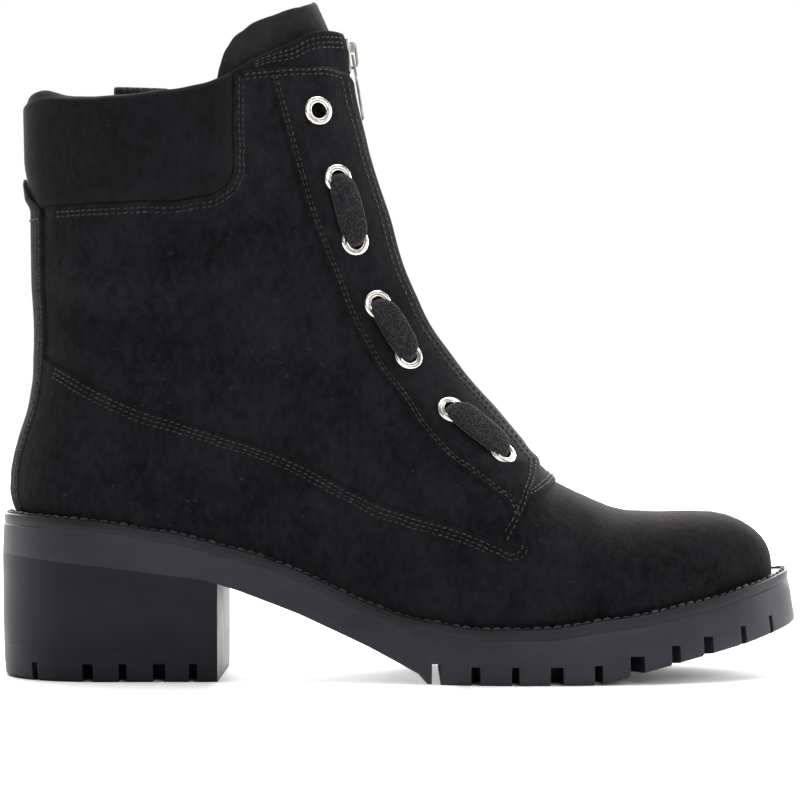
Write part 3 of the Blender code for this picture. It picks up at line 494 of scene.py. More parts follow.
    def find(self, places: Array, side: Side) -> tuple[Array, Array]:
        """Rows and columns of side-view places on one side, by the nearest point and Newton steps.

        Args:
            places: Side-view x and z, one place a row.
            side: The side to search.

        Returns:
            Row shares and column shares.
        """
        half = self.COLUMNS - 1
        columns = np.arange(0, half + 1, 3) if side is Side.LATERAL else np.arange(half, 2 * half, 3)
        rows = np.arange(0, self.ROWS, 3)
        seen = self.grid[rows][:, columns][..., [0, 2]].reshape(-1, 2)
        nearest = np.argmin(np.sum((places[:, None] - seen[None]) ** 2, axis=-1), axis=1)
        row = self.rows[rows[nearest // len(columns)]]
        u = columns[nearest % len(columns)] / half - 1.0
        step = self.STEP
        most = self.LONGEST_STEP
        for _ in range(self.TRIES):
            here = self.read(self.grid, row, u)[:, [0, 2]]
            by_row = (self.read(self.grid, row + step, u)[:, [0, 2]] - here) / step
            by_u = (self.read(self.grid, row, u + step)[:, [0, 2]] - here) / step
            miss = places - here
            area = by_row[:, 0] * by_u[:, 1] - by_row[:, 1] * by_u[:, 0]
            area = np.where(np.abs(area) < self.LEAST_AREA, self.LEAST_AREA, area)
            change = (miss[:, 0] * by_u[:, 1] - miss[:, 1] * by_u[:, 0]) / area
            turn = (by_row[:, 0] * miss[:, 1] - by_row[:, 1] * miss[:, 0]) / area
            row = np.clip(row + np.clip(change, -most, most), 0.0, self.TOP_ROW)
            u = side.value * (u + np.clip(turn, -most, most))
            u = side.value * np.clip(u, self.FRONT_LIMIT, 1.0)
        return row, u


FORM = BootForm()


@dataclass
class SurfacePath:
    """A line on the upper's surface as rows and columns."""

    row: Array
    u: Array

    @staticmethod
    def through(rows: Sequence[tuple[float, float]], side: Side, count: int) -> "SurfacePath":
        """Smooth line through side-view places, evenly spaced."""
        return SurfacePath(*FORM.find(Line(rows).at(np.linspace(0.0, 1.0, count)), side))

    def shifted(self, distance: float) -> "SurfacePath":
        """The line moved along the surface, to the left as seen from outside while going along it.

        Args:
            distance: How far, in millimetres.

        Returns:
            The moved line.
        """
        here = FORM.point(self.row, self.u)
        ahead = unit(np.gradient(here, axis=0))
        left = np.cross(FORM.normal(self.row, self.u), ahead) * distance
        step = FORM.STEP
        by_row = (FORM.point(self.row + step, self.u) - here) / step
        by_u = (FORM.point(self.row, self.u + step) - here) / step
        rr, uu, ru = (np.sum(a * b, axis=1) for a, b in ((by_row, by_row), (by_u, by_u), (by_row, by_u)))
        lr, lu = np.sum(left * by_row, axis=1), np.sum(left * by_u, axis=1)
        area = rr * uu - ru * ru
        return SurfacePath(self.row + (lr * uu - lu * ru) / area, self.u + (lu * rr - lr * ru) / area)

    def part(self, start: int, end: int) -> "SurfacePath":
        """The line between two of its places."""
        return SurfacePath(self.row[start:end], self.u[start:end])

    def by_row(self) -> "SurfacePath":
        """The line's places in order of their rows."""
        order = np.argsort(self.row)
        return SurfacePath(self.row[order], self.u[order])

    def along(self, side: Side) -> Array:
        """Lengths along the rows from the front line."""
        return np.abs(self.u) * FORM.length(self.row, side)

    def points(self, lift: Array) -> StitchRow:
        """Points and outward directions along the line."""
        return FORM.point(self.row, self.u, lift), FORM.normal(self.row, self.u)


# Plan of the sole


class SolePlan:
    """Outlines of the sole: the upper's lower edge pushed out along its own plan normals."""

    COUNT = 151

    def __init__(self) -> None:
        """Read the upper's lower edge at cosine-spaced stations on both sides."""
        middle, reach = 0.5 * (TOE_TIP + HEEL_END), 0.5 * (TOE_TIP - HEEL_END)
        stations = middle + reach * np.cos(np.linspace(0.0, math.pi, self.COUNT))
        centre = FOOT.at("centre", stations) * (1.0 - FORM.shaft_weight(stations, SEAT.at("z", stations)))
        halves = []
        for side in Side:
            wide = FORM.half_width(stations, SEAT.at("z", stations) + RIM_LIFT, side)
            halves.append(np.stack([stations, centre + side.value * wide], axis=1))
        self.edge = np.concatenate([halves[0], halves[1][-2:0:-1]])
        ahead = np.roll(self.edge, -1, axis=0) - np.roll(self.edge, 1, axis=0)
        self.out = unit(np.stack([-ahead[:, 1], ahead[:, 0]], axis=1))

    def loop(self, flared: float, extra: float = 0.0) -> Array:
        """Outline of the sole: the upper's edge pushed out by the margin and a share of the flare.

        Args:
            flared: 0 at the sole's upper edge and 1 at its lower edge.
            extra: How much further out it lies.

        Returns:
            Points in plan.
        """
        x = self.edge[:, 0]
        push = SOLE_EDGE.at("margin", x) + flared * SOLE_EDGE.at("flare", x) + extra
        return self.edge + self.out * push[:, None]

    def inset(self, distance: float) -> Array:
        """Outline inside the upper's lower edge."""
        return self.edge - self.out * distance

    def sides(self, loop: Array) -> dict[Side, Array]:
        """An outline's two sides, each from the toe to the heel."""
        medial = np.concatenate([loop[:1], loop[:self.COUNT - 2:-1]])
        return {Side.LATERAL: loop[:self.COUNT], Side.MEDIAL: medial}

    @staticmethod
    def y_at(line: Array, x: float) -> float:
        """Place across at x on one side of an outline."""
        order = np.argsort(line[:, 0])
        return float(np.interp(x, line[order, 0], line[order, 1]))

    def shift(self) -> Array:
        """Move from the design frame to the row's frame: the sole's plan box is centred.

        Returns:
            The move in x, y and z.
        """
        loop = self.loop(1.0)
        middle = 0.5 * (loop.max(axis=0) + loop.min(axis=0))
        return np.array([-middle[0], -middle[1], 0.0])


PLAN = SolePlan()
SHIFT = PLAN.shift()


# Meshes from arrays


def grid_faces(rows: int, columns: int, wrap_rows: bool = False, wrap_columns: bool = False) -> Array:
    """Four-sided faces of a grid of points.

    Args:
        rows: Number of rows of points.
        columns: Number of columns of points.
        wrap_rows: Whether the rows close round.
        wrap_columns: Whether the columns close round.

    Returns:
        Four corners of each face.
    """
    r = np.arange(rows if wrap_rows else rows - 1)[:, None]
    c = np.arange(columns if wrap_columns else columns - 1)[None, :]
    up, right = (r + 1) % rows, (c + 1) % columns
    corners = (r * columns + c, r * columns + right, up * columns + right, up * columns + c)
    return np.stack(np.broadcast_arrays(*corners), axis=-1).reshape(-1, 4)


def make_object(
    name: str,
    points: Array,
    faces: Sequence[Array],
    finishes: Sequence[Finish],
    finish_index: Optional[Array] = None,
    sharp_deg: float = 50.0,
    uv: Optional[Array] = None,
) -> bpy.types.Object:
    """Object from points in millimetres of the design frame.

    Args:
        name: Name of the piece.
        points: Points, one a row.
        faces: Arrays of faces, each array with its own number of corners.
        finishes: Finishes of the piece.
        finish_index: Which finish each face wears.
        sharp_deg: Edges bent by more than this stay sharp.
        uv: Place of each point in the piece's own UV map.

    Returns:
        The new object, at the origin.
    """
    mesh = bpy.data.meshes.new(name)
    corners = np.concatenate([f.ravel() for f in faces]).astype(np.int32)
    sizes = np.concatenate([np.full(len(f), f.shape[1]) for f in faces])
    mesh.vertices.add(len(points))
    mesh.vertices.foreach_set("co", ((points + SHIFT) * MM).astype(np.float32).ravel())
    mesh.loops.add(len(corners))
    mesh.loops.foreach_set("vertex_index", corners)
    mesh.polygons.add(len(sizes))
    starts = np.concatenate([[0], np.cumsum(sizes)[:-1]]).astype(np.int32)
    mesh.polygons.foreach_set("loop_start", starts)
    if finish_index is not None:
        mesh.polygons.foreach_set("material_index", finish_index.astype(np.int32))
    if uv is not None:
        layer = mesh.uv_layers.new(name="run")
        layer.data.foreach_set("uv", uv[corners].astype(np.float32).ravel())
    mesh.update(calc_edges=True)
    mesh.validate()
    mesh.shade_smooth()
    mesh.set_sharp_from_angle(angle=math.radians(sharp_deg))
    for finish in finishes:
        mesh.materials.append(finish.material)
    thing = bpy.data.objects.new(name, mesh)
    bpy.context.scene.collection.objects.link(thing)
    return thing


def sheet_faces(keep: Array, columns: int, wrap: bool) -> tuple[list[Array], Array]:
    """Faces of a closed sheet between an outer and an inner grid of the same size.

    The outer points come first, then the inner ones. Each kept cell has an outer and an inner
    face, and a wall stands along every edge that only one kept cell has.

    Args:
        keep: Which cells are kept, by row and column.
        columns: Number of columns of points.
        wrap: Whether the columns close round.

    Returns:
        The faces, and 0 for each outer or wall face and 1 for each inner face.
    """
    rows = keep.shape[0] + 1
    size = rows * columns
    outer = grid_faces(rows, columns, wrap_columns=wrap)[keep.ravel()]
    index = np.arange(size).reshape(rows, columns)
    ahead = np.roll(index, -1, axis=1) if wrap else index[:, 1:]
    here = index if wrap else index[:, :-1]
    none = np.zeros((1, keep.shape[1]), dtype=bool)
    below, above = np.concatenate([none, keep]), np.concatenate([keep, none])
    if wrap:
        left, right = np.roll(keep, 1, axis=1), keep
    else:
        none = np.zeros((keep.shape[0], 1), dtype=bool)
        left, right = np.concatenate([none, keep], axis=1), np.concatenate([keep, none], axis=1)
    low, high = index[:-1], index[1:]
    walls = []
    for chosen, first, second in (
        (above & ~below, ahead, here), (below & ~above, here, ahead),
        (right & ~left, low, high), (left & ~right, high, low),
    ):
        a, b = first[chosen], second[chosen]
        walls.append(np.stack([a, b, b + size, a + size], axis=1))
    wall = np.concatenate(walls)
    inner = outer[:, ::-1] + size
    kind = np.concatenate([np.zeros(len(outer) + len(wall)), np.ones(len(inner))])
    return [outer, wall, inner], kind


def make_sheet(
    name: str,
    outer: Array,
    inner: Array,
    finishes: Sequence[Finish],
    keep: Optional[Array] = None,
    wrap: bool = False,
) -> bpy.types.Object:
    """Closed sheet of leather or cloth between two grids of points.

    Args:
        name: Name of the piece.
        outer: Points of its face by row and column.
        inner: Points of its back.
        finishes: Its finishes; the back wears the last one.
        keep: Which cells are kept, all if not said.
        wrap: Whether the columns close round.

    Returns:
        The piece.
    """
    rows, columns = outer.shape[:2]
    if keep is None:
        keep = np.ones((rows - 1, columns if wrap else columns - 1), dtype=bool)
    facing = np.cross(outer[:-1, 1:] - outer[:-1, :-1], outer[1:, :-1] - outer[:-1, :-1])
    if np.sum(facing * (outer - inner)[:-1, :-1]) < 0.0:
        outer, inner, keep = outer[:, ::-1], inner[:, ::-1], keep[:, ::-1]
    faces, kind = sheet_faces(keep, columns, wrap)
    points = np.concatenate([outer.reshape(-1, 3), inner.reshape(-1, 3)])
    used = np.unique(np.concatenate([f.ravel() for f in faces]))
    renumber = np.zeros(len(points), dtype=int)
    renumber[used] = np.arange(len(used))
    index = kind * (len(finishes) - 1)
    return make_object(name, points[used], [renumber[f] for f in faces], finishes, index)


def make_tube(
    name: str,
    stations: Array,
    across: Array,
    up: Array,
    half: Array,
    finish: Finish,
    sides: int,
    square: float = 2.6,
) -> bpy.types.Object:
    """Band with a rounded flat section carried along a path.

    The section is a superellipse with half sizes that change along the path; the UV map holds the
    length run along the band and the place round its section, in millimetres.

    Args:
        name: Name of the piece.
        stations: Points of the path.
        across: Direction of the width at each point.
        up: Direction of the thickness at each point.
        half: Half width and half thickness at each point.
        finish: Its finish.
        sides: Number of points round the section.
        square: Power of the superellipse.

    Returns:
        The piece.
    """
    half_width, half_thick = half.T
    angle = np.linspace(0.0, 2.0 * math.pi, sides, endpoint=False)
    wide = np.sign(np.cos(angle)) * np.abs(np.cos(angle)) ** (2.0 / square)
    thick = np.sign(np.sin(angle)) * np.abs(np.sin(angle)) ** (2.0 / square)
    rings = (
        stations[:, None]
        + across[:, None] * (half_width[:, None] * wide)[..., None]
        + up[:, None] * (half_thick[:, None] * thick)[..., None]
    )
    count = len(stations)
    faces = grid_faces(count, sides, wrap_columns=True)
    caps = np.stack([np.arange(sides)[::-1], (count - 1) * sides + np.arange(sides)])
    run = np.broadcast_to(run_length(stations)[:, None], (count, sides))
    girth = half_width[:, None] * wide + 3.0 * np.sign(thick) * half_thick.max()
    uv = np.stack([run, girth], axis=-1).reshape(-1, 2)
    return make_object(name, rings.reshape(-1, 3), [faces, caps], [finish], uv=uv)


def stitch_mesh(
    name: str,
    paths: Sequence[StitchRow],
    finish: Finish,
    pitch: float,
    length: float,
    radius: float,
    seed: int,
    slant: float,
    uneven: float,
) -> bpy.types.Object:
    """Joined stitches along paths: short arched threads whose ends dive into the leather.

    Args:
        name: Name of the piece.
        paths: The rows of stitches.
        finish: The thread's finish.
        pitch: Distance from stitch to stitch.
        length: Visible length of a stitch.
        radius: Radius of the thread.
        seed: Seed of the small unevenness of hand-guided sewing.
        slant: Turn of each stitch out of its row, in radians.
        uneven: Change of the thread's thickness from stitch to stitch, as a share.

    Returns:
        The joined object.
    """
    draw = np.random.default_rng(seed)
    reach = 0.4
    wander = 0.055
    centres, tangents, normals = [], [], []
    for points, out in paths:
        run = run_length(points)
        places = np.arange(0.5 * pitch, run[-1], pitch)
        centres.append(sampled(places, run, points))
        tangents.append(unit(sampled(places + reach, run, points) - sampled(places - reach, run, points)))
        normals.append(unit(sampled(places, run, out)))
    centre, tangent, normal = (np.concatenate(group) for group in (centres, tangents, normals))
    across = unit(np.cross(normal, tangent))
    wobble = slant + draw.normal(0.0, wander, len(centre))
    tangent, across = unit(tangent + across * wobble[:, None]), unit(across - tangent * wobble[:, None])
    share = np.array([-1.0, -0.62, 0.0, 0.62, 1.0])
    arch = np.array([-1.3, 0.45, 0.75, 0.45, -1.3]) * radius
    sides = 5
    angle = np.linspace(0.0, 2.0 * math.pi, sides, endpoint=False)
    scale = draw.uniform(1.0 - uneven, 1.0 + uneven, len(centre))[:, None, None, None] * radius
    rings = (
        centre[:, None, None]
        + tangent[:, None, None] * (0.5 * length * share)[None, :, None, None]
        + normal[:, None, None] * arch[None, :, None, None]
        + across[:, None, None] * (np.cos(angle)[None, None, :, None] * scale)
        + normal[:, None, None] * (np.sin(angle)[None, None, :, None] * scale)
    )
    count = len(share) * sides
    base = (np.arange(len(centre)) * count)[:, None, None]
    faces = (grid_faces(len(share), sides, wrap_columns=True)[None] + base).reshape(-1, 4)
    ends = np.stack([np.arange(sides)[::-1], count - sides + np.arange(sides)])
    caps = (ends[None] + base).reshape(-1, sides)
    return make_object(name, rings.reshape(-1, 3), [faces, caps], [finish], sharp_deg=80.0)


def applied(thing: bpy.types.Object) -> bpy.types.Object:
    """The object with its modifiers turned into mesh.

    Args:
        thing: The object.

    Returns:
        The same object.
    """
    bpy.context.view_layer.update()
    seen = thing.evaluated_get(bpy.context.evaluated_depsgraph_get())
    mesh = bpy.data.meshes.new_from_object(seen)
    thing.modifiers.clear()
    old, thing.data = thing.data, mesh
    bpy.data.meshes.remove(old)
    return thing


def bevel(thing: bpy.types.Object, width: float, segments: int = 2, angle_deg: float = 35.0) -> None:
    """Rounded edges by a Bevel modifier.

    Args:
        thing: The piece.
        width: Width of the edges in millimetres.
        segments: Number of steps round an edge.
        angle_deg: Edges bent by less than this stay as they are.
    """
    edge = thing.modifiers.new("rounded edges", "BEVEL")
    edge.width = width * MM
    edge.segments = segments
    edge.limit_method = "ANGLE"
    edge.angle_limit = math.radians(angle_deg)
    edge.use_clamp_overlap = True


# Colours and node trees

EASED = {"interpolation_type": "SMOOTHSTEP"}
COLOURS = {"data_type": "RGBA"}
WHITE = (1.0, 1.0, 1.0, 1.0)


def linear(hex_colour: str) -> tuple[float, float, float, float]:
    """An sRGB hex colour as linear red, green, blue and alpha.

    Args:
        hex_colour: The colour as #rrggbb.

    Returns:
        The linear colour, fully opaque.
    """
    parts = [int(hex_colour[k:k + 2], 16) / 255.0 for k in (1, 3, 5)]
    turned = [p / 12.92 if p <= 0.04045 else ((p + 0.055) / 1.055) ** 2.4 for p in parts]
    return (*turned, 1.0)


def per_mm(size: float) -> float:
    """Scale of a pattern on coordinates in metres whose features are a size in millimetres."""
    return 1.0 / (size * MM)


class Surface:
    """A node tree with its shader and its coordinates, filled node by node."""

    def __init__(
        self, owner: bpy.types.ID, shader: str = "Principled BSDF", coordinates: str = "Object",
    ) -> None:
        """Start the tree of a material or a world.

        Args:
            owner: The material or world.
            shader: Name of the shader that its tree starts with.
            coordinates: Texture coordinates that its patterns read.
        """
        owner.use_nodes = True
        self.owner = owner
        self.tree = owner.node_tree
        self.shader = self.tree.nodes[shader]
        self.place = self.add("TexCoord", output=coordinates)

    def add(
        self, kind: str, inputs: Optional[dict] = None, output: int | str = 0, **settings: object,
    ) -> bpy.types.NodeSocket:
        """Add a node, set its properties, and set or link its inputs.

        Args:
            kind: Blender's name of the shader node's type, after its prefix.
            inputs: Input names or numbers with a value, or with the output socket to link.
            output: Name or number of the output that is wanted.
            **settings: Properties of the node.

        Returns:
            The node's output.
        """
        node = self.tree.nodes.new(f"ShaderNode{kind}")
        for name, value in settings.items():
            setattr(node, name, value)
        self.set(node, inputs or {})
        return node.outputs[output]

    def set(self, node: bpy.types.Node, inputs: dict) -> None:
        """Set or link inputs of a node.

        Args:
            node: The node.
            inputs: Input names or numbers with a value, or with the output socket to link.
        """
        for name, value in inputs.items():
            if isinstance(value, bpy.types.NodeSocket):
                self.tree.links.new(value, node.inputs[name])
            else:
                node.inputs[name].default_value = value

    def grain(self, size: float, detail: float, place: Optional[bpy.types.NodeSocket] = None) -> dict:
        """Inputs of a noise with features of a size in millimetres, on the tree's coordinates or others."""
        vector = self.place if place is None else place
        return {"Vector": vector, "Scale": per_mm(size), "Detail": detail, "Roughness": 0.6}


# Finishes


@dataclass(frozen=True)
class Suede:
    """Black suede: split leather buffed to a short nap, matt, with soft patches where the nap lies over."""

    name: str = "black split suede"
    dark: str = "#060608"
    light: str = "#1d1c1f"
    fleck: str = "#29282a"
    sheen: float = 0.09
    nap: float = 0.55

    def material(self) -> bpy.types.Material:
        """Nap patches of 30, 9 and 2 mm, fibres of 0.7 mm and a few pale flecks.

        Real fibres are about 0.1 mm; they are drawn as coarse as they need to show.

        Returns:
            The material.
        """
        s = Surface(bpy.data.materials.new(self.name))
        lying = s.add("Mapping", {"Vector": s.place, "Scale": (1.0, 1.0, 0.6)})
        patches = 0.0
        for place, size, detail, low, high, share in (
            (s.place, 30.0, 2.0, 0.32, 0.7, 0.3),
            (lying, 9.0, 4.0, 0.3, 0.75, 0.26),
            (lying, 2.0, 4.0, 0.3, 0.72, 0.44),
        ):
            noise = s.add("TexNoise", s.grain(size, detail, place))
            tone = s.add("MapRange", {"Value": noise, "From Min": low, "From Max": high}, **EASED)
            patches = s.add("Math", {0: tone, 1: share, 2: patches}, operation="MULTIPLY_ADD")
        base = s.add("Mix", {0: patches, 6: linear(self.dark), 7: linear(self.light)}, 2, **COLOURS)
        noise = s.add("TexNoise", s.grain(1.6, 1.0))
        flecks = s.add("MapRange", {"Value": noise, "From Min": 0.72, "From Max": 0.8}, **EASED)
        colour = s.add("Mix", {0: flecks, 6: base, 7: linear(self.fleck)}, 2, **COLOURS)
        normal: dict = {}
        for size, strength, depth in ((3.2, 0.35, 0.35), (0.7, self.nap, 0.3)):
            height = s.add("TexNoise", s.grain(size, 3.0))
            inputs = {"Height": height, "Strength": strength, "Distance": depth * MM, **normal}
            normal["Normal"] = s.add("Bump", inputs)
        s.set(s.shader, {
            "Base Color": colour, "Roughness": 0.95, "Specular IOR Level": 0.06, "Sheen Weight": self.sheen,
            "Sheen Roughness": 0.42, "Sheen Tint": linear("#a89c8c"), **normal,
        })
        return s.owner


@dataclass(frozen=True)
class Rubber:
    """Moulded rubber: satin, with a faint grain from the mould and slow changes of gloss."""

    name: str = "charcoal moulded rubber"
    dark: str = "#17171b"
    light: str = "#222227"
    roughness: tuple[float, float] = (0.42, 0.6)
    gloss: float = 0.34

    def material(self) -> bpy.types.Material:
        """Broad tone changes of 40 mm, gloss changes of 14 mm, flow marks of 6 mm and mould grain of 0.8 mm.

        Returns:
            The material.
        """
        s = Surface(bpy.data.materials.new(self.name))
        flat = s.add("Mapping", {"Vector": s.place, "Scale": (1.0, 1.0, 2.2)})
        noise = s.add("TexNoise", s.grain(40.0, 3.0, flat))
        tone = s.add("MapRange", {"Value": noise, "From Min": 0.3, "From Max": 0.72}, **EASED)
        colour = s.add("Mix", {0: tone, 6: linear(self.dark), 7: linear(self.light)}, 2, **COLOURS)
        noise = s.add("TexNoise", s.grain(14.0, 3.0))
        low, high = self.roughness
        rough = s.add("MapRange", {"Value": noise, "To Min": low, "To Max": high})
        normal: dict = {}
        for size, strength, depth in ((6.0, 0.12, 0.3), (0.8, 0.18, 0.12)):
            height = s.add("TexNoise", s.grain(size, 2.0))
            inputs = {"Height": height, "Strength": strength, "Distance": depth * MM, **normal}
            normal["Normal"] = s.add("Bump", inputs)
        s.set(s.shader, {
            "Base Color": colour, "Roughness": rough, "Specular IOR Level": self.gloss,
            "Specular Tint": linear("#e9e9f6"), **normal,
        })
        return s.owner


@dataclass(frozen=True)
class Nickel:
    """Polished nickel plate: a warm silver mirror with faint handling haze."""

    name: str = "polished nickel plate"
    colour: str = "#e3e0db"
    haze: str = "#c4c1bb"
    roughness: tuple[float, float] = (0.12, 0.28)

    def material(self) -> bpy.types.Material:
        """Haze of 3 mm, roughness clouded over 2 mm, and hairlines of 0.3 mm.

        Returns:
            The material.
        """
        s = Surface(bpy.data.materials.new(self.name))
        low, high = self.roughness
        noise = s.add("TexNoise", s.grain(2.0, 4.0))
        rough = s.add("MapRange", {"Value": noise, "To Min": low, "To Max": high})
        drawn = s.add("Mapping", {"Vector": s.place, "Scale": (1.0, 1.0, 0.1)})
        hairlines = s.add("TexNoise", s.grain(0.3, 2.0, drawn))
        normal = s.add("Bump", {"Height": hairlines, "Strength": 0.06, "Distance": 0.05 * MM})
        cloud = s.add("TexNoise", s.grain(3.0, 2.0))
        colour = s.add("Mix", {0: cloud, 6: linear(self.haze), 7: linear(self.colour)}, 2, **COLOURS)
        s.set(s.shader, {"Base Color": colour, "Metallic": 1.0, "Roughness": rough, "Normal": normal})
        return s.owner


@dataclass(frozen=True)
class Woven:
    """Woven yarn: rows of small loops along the piece, dull, with painted highlights on the high points and
    painted shade between them.
    """

    name: str
    dark: str
    light: str
    pitch: float
    uneven: float = 1.4

    def material(self) -> bpy.types.Material:
        """Two crossed waves a yarn's pitch apart make the loops; noise makes them uneven.

        Returns:
            The material.
        """
        s = Surface(bpy.data.materials.new(self.name))
        loops = 1.0
        for turn in (0.8, -0.8):
            inputs = {
                "Vector": s.add("Mapping", {"Vector": s.place, "Rotation": (0.3, 0.2, turn)}),
                "Scale": per_mm(self.pitch) / (2.0 * math.pi), "Detail": 2.0, "Distortion": self.uneven,
            }
            loops = s.add("Math", {0: loops, 1: s.add("TexWave", inputs, "Fac")}, operation="MULTIPLY")
        uneven = s.add("TexNoise", s.grain(2.5 * self.pitch, 3.0))
        # Painted highlight and shade: the colour is paler on the loops' high points and darker between them,
        # times a random change of tone
        raised = s.add("Math", {0: loops, 1: 0.25}, operation="ADD")
        shade = s.add("Math", {0: raised, 1: uneven}, operation="MULTIPLY")
        shade = s.add("MapRange", {"Value": shade, "From Min": 0.1, "From Max": 0.6}, **EASED)
        colour = s.add("Mix", {0: shade, 6: linear(self.dark), 7: linear(self.light)}, 2, **COLOURS)
        s.set(s.shader, {
            "Base Color": colour, "Roughness": 0.9, "Specular IOR Level": 0.15, "Sheen Weight": 0.12,
            "Sheen Roughness": 0.5,
            "Normal": s.add("Bump", {"Height": loops, "Strength": 0.8, "Distance": 0.35 * MM}),
        })
        return s.owner


@dataclass(frozen=True)
class Knit:
    """Soft knitted yarn: small uneven loops, dull, with painted shade in the hollows between them."""

    name: str
    dark: str
    light: str
    loop: float

    def material(self) -> bpy.types.Material:
        """Rounded cells of a loop's size over slow changes of tone; the UV map is in millimetres.

        Returns:
            The material.
        """
        s = Surface(bpy.data.materials.new(self.name), coordinates="UV")
        wander = s.add("TexNoise", s.grain(3.0 * self.loop / MM, 2.0))
        spot = s.add("VectorMath", {0: s.place, 1: wander}, operation="ADD")
        inputs = {"Vector": spot, "Scale": 1.0 / self.loop, "Smoothness": 0.6, "Randomness": 1.0}
        cells = s.add("TexVoronoi", inputs, "Distance", feature="SMOOTH_F1")
        loops = s.add("MapRange", {"Value": cells, "From Min": 0.75, "From Max": 0.1}, **EASED)
        uneven = s.add("TexNoise", s.grain(2.2 / MM, 3.0))
        # Painted shade: the colour darkens in the hollows between the loops, times a random change of tone
        raised = s.add("Math", {0: loops, 1: 0.35}, operation="ADD")
        shade = s.add("Math", {0: raised, 1: uneven}, operation="MULTIPLY")
        shade = s.add("MapRange", {"Value": shade, "From Min": 0.1, "From Max": 0.8}, **EASED)
        colour = s.add("Mix", {0: shade, 6: linear(self.dark), 7: linear(self.light)}, 2, **COLOURS)
        s.set(s.shader, {
            "Base Color": colour, "Roughness": 0.95, "Specular IOR Level": 0.1, "Sheen Weight": 0.15,
            "Sheen Roughness": 0.5,
            "Normal": s.add("Bump", {"Height": loops, "Strength": 0.7, "Distance": 0.3 * MM}),
        })
        return s.owner


@dataclass(frozen=True)
class Thread:
    """Bonded sewing thread: dark grey, twisted, with a slight gloss."""

    name: str = "dark bonded thread"
    dark: str = "#0c0c0d"
    light: str = "#2b2b2e"

    def material(self) -> bpy.types.Material:
        """Tone changes from stitch to stitch over 1.2 mm and a twist of 0.4 mm.

        Returns:
            The material.
        """
        s = Surface(bpy.data.materials.new(self.name))
        twist = s.add("TexNoise", s.grain(0.4, 1.0))
        noise = s.add("TexNoise", s.grain(1.2, 2.0))
        tone = s.add("MapRange", {"Value": noise, "From Min": 0.38, "From Max": 0.72}, **EASED)
        colour = s.add("Mix", {0: tone, 6: linear(self.dark), 7: linear(self.light)}, 2, **COLOURS)
        s.set(s.shader, {
            "Base Color": colour, "Roughness": 0.6, "Specular IOR Level": 0.35,
            "Normal": s.add("Bump", {"Height": twist, "Strength": 0.4, "Distance": 0.1 * MM}),
        })
        return s.owner


class Finish(Enum):
    """The finishes of the boot's pieces, each with its material made once."""

    SUEDE = Suede()
    PAD = Suede("black padded suede", "#0b0b0c", "#19181b", "#29282a", 0.09, 0.4)
    TONGUE = Suede("black tongue suede", "#141415", "#29282a", "#363537", 0.12, 0.6)
    RUBBER = Rubber()
    # Painted shade: the sole's rubber made darker and less glossy for the heel, so the heel reads darker than
    # the forefoot
    HEEL = Rubber("charcoal heel rubber", "#121216", "#1a1a1f", (0.42, 0.6), 0.17)
    WELT = Rubber("dark welt rubber", "#131315", "#1c1c1f", (0.38, 0.55), 0.26)
    NICKEL = Nickel()
    ZIP_METAL = Nickel("satin zip nickel", "#a3a19d", "#83817d", (0.22, 0.4))
    THREAD = Thread()
    WELT_THREAD = Thread("waxed welt thread", "#0d0d0e", "#212123")
    LINING = Woven("black woven lining", "#0e0e0f", "#1e1e20", 0.9)
    LACE = Knit("black knitted lace", "#0f0f11", "#29282c", 0.62)
    TAPE = Woven("black woven tape", "#141414", "#2c2b2a", 0.8)
    ZIP_TAPE = Woven("black zip tape", "#0f0f10", "#232325", 0.7)
    ZIP_TEETH = Rubber("black moulded zip teeth", "#141415", "#222224", (0.3, 0.42))

    @cached_property
    def material(self) -> bpy.types.Material:
        """The finish's material, made at its first use."""
        return self.value.material()


def wear(thing: bpy.types.Object, slot: str, *nodes: str, body: str = BOOT) -> bpy.types.Object:
    """Put a piece on its body and hide the solids that it stands for.

    Args:
        thing: The piece.
        slot: Not used.
        *nodes: The solids.
        body: The body that it rides on.

    Returns:
        The piece.
    """
    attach(thing, body)
    if nodes:
        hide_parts(*nodes)
    LOG.info("%s: %d faces", thing.name, len(thing.data.polygons))
    return thing


def eyelet_frame(index: int, side: Side) -> tuple[Array, Array]:
    """Surface point and outward direction of an eyelet's centre."""
    row, u = FORM.find(np.array([EYELETS[index]]), side)
    return FORM.point(row, u)[0], FORM.normal(row, u)[0]


def clear_of_eyelets(points: Array) -> Array:
    """Cells of a grid of points whose middle lies outside the hole of every eyelet.

    Args:
        points: The grid.

    Returns:
        Whether each cell is kept, by row and column.
    """
    middle = 0.25 * (points[:-1, :-1] + points[1:, :-1] + points[:-1, 1:] + points[1:, 1:])
    keep = np.ones(middle.shape[:2], dtype=bool)
    for side in Side:
        for index in range(len(EYELETS)):
            centre, out = eyelet_frame(index, side)
            off = middle - centre
            depth = off @ out
            away = np.linalg.norm(off - depth[..., None] * out, axis=-1)
            keep &= ~((away < PIERCED_RADIUS) & (np.abs(depth) < PIERCED_DEPTH))
    return keep


# The upper and the panels on it


def zip_lip(row: Array, along: Array) -> Array:
    """Height of the turned edges beside the zip: full at the slot, gone one reach further round."""
    return ZIP_LIP.straight("rise", row) * smoothstep(1.0 - (np.abs(along) - SLOT_HALF) / ZIP_LIP_REACH)


def make_panel(
    name: str, row: Array, u: Array, face: Array, back: Array, *finishes: Finish, pierced: bool = False,
) -> bpy.types.Object:
    """Sheet laid on the upper's form, between two heights over it.

    Args:
        name: Name of the piece.
        row: Rows of its grid of points.
        u: Columns of its grid of points.
        face: Height of its face.
        back: Height of its back.
        *finishes: Its finish, or those of its face and its back.
        pierced: Whether the eyelets' holes go through it.

    Returns:
        The piece.
    """
    outer = FORM.point(row, u, face)
    keep = clear_of_eyelets(outer) if pierced else None
    return make_sheet(name, outer, FORM.point(row, u, back), finishes, keep)


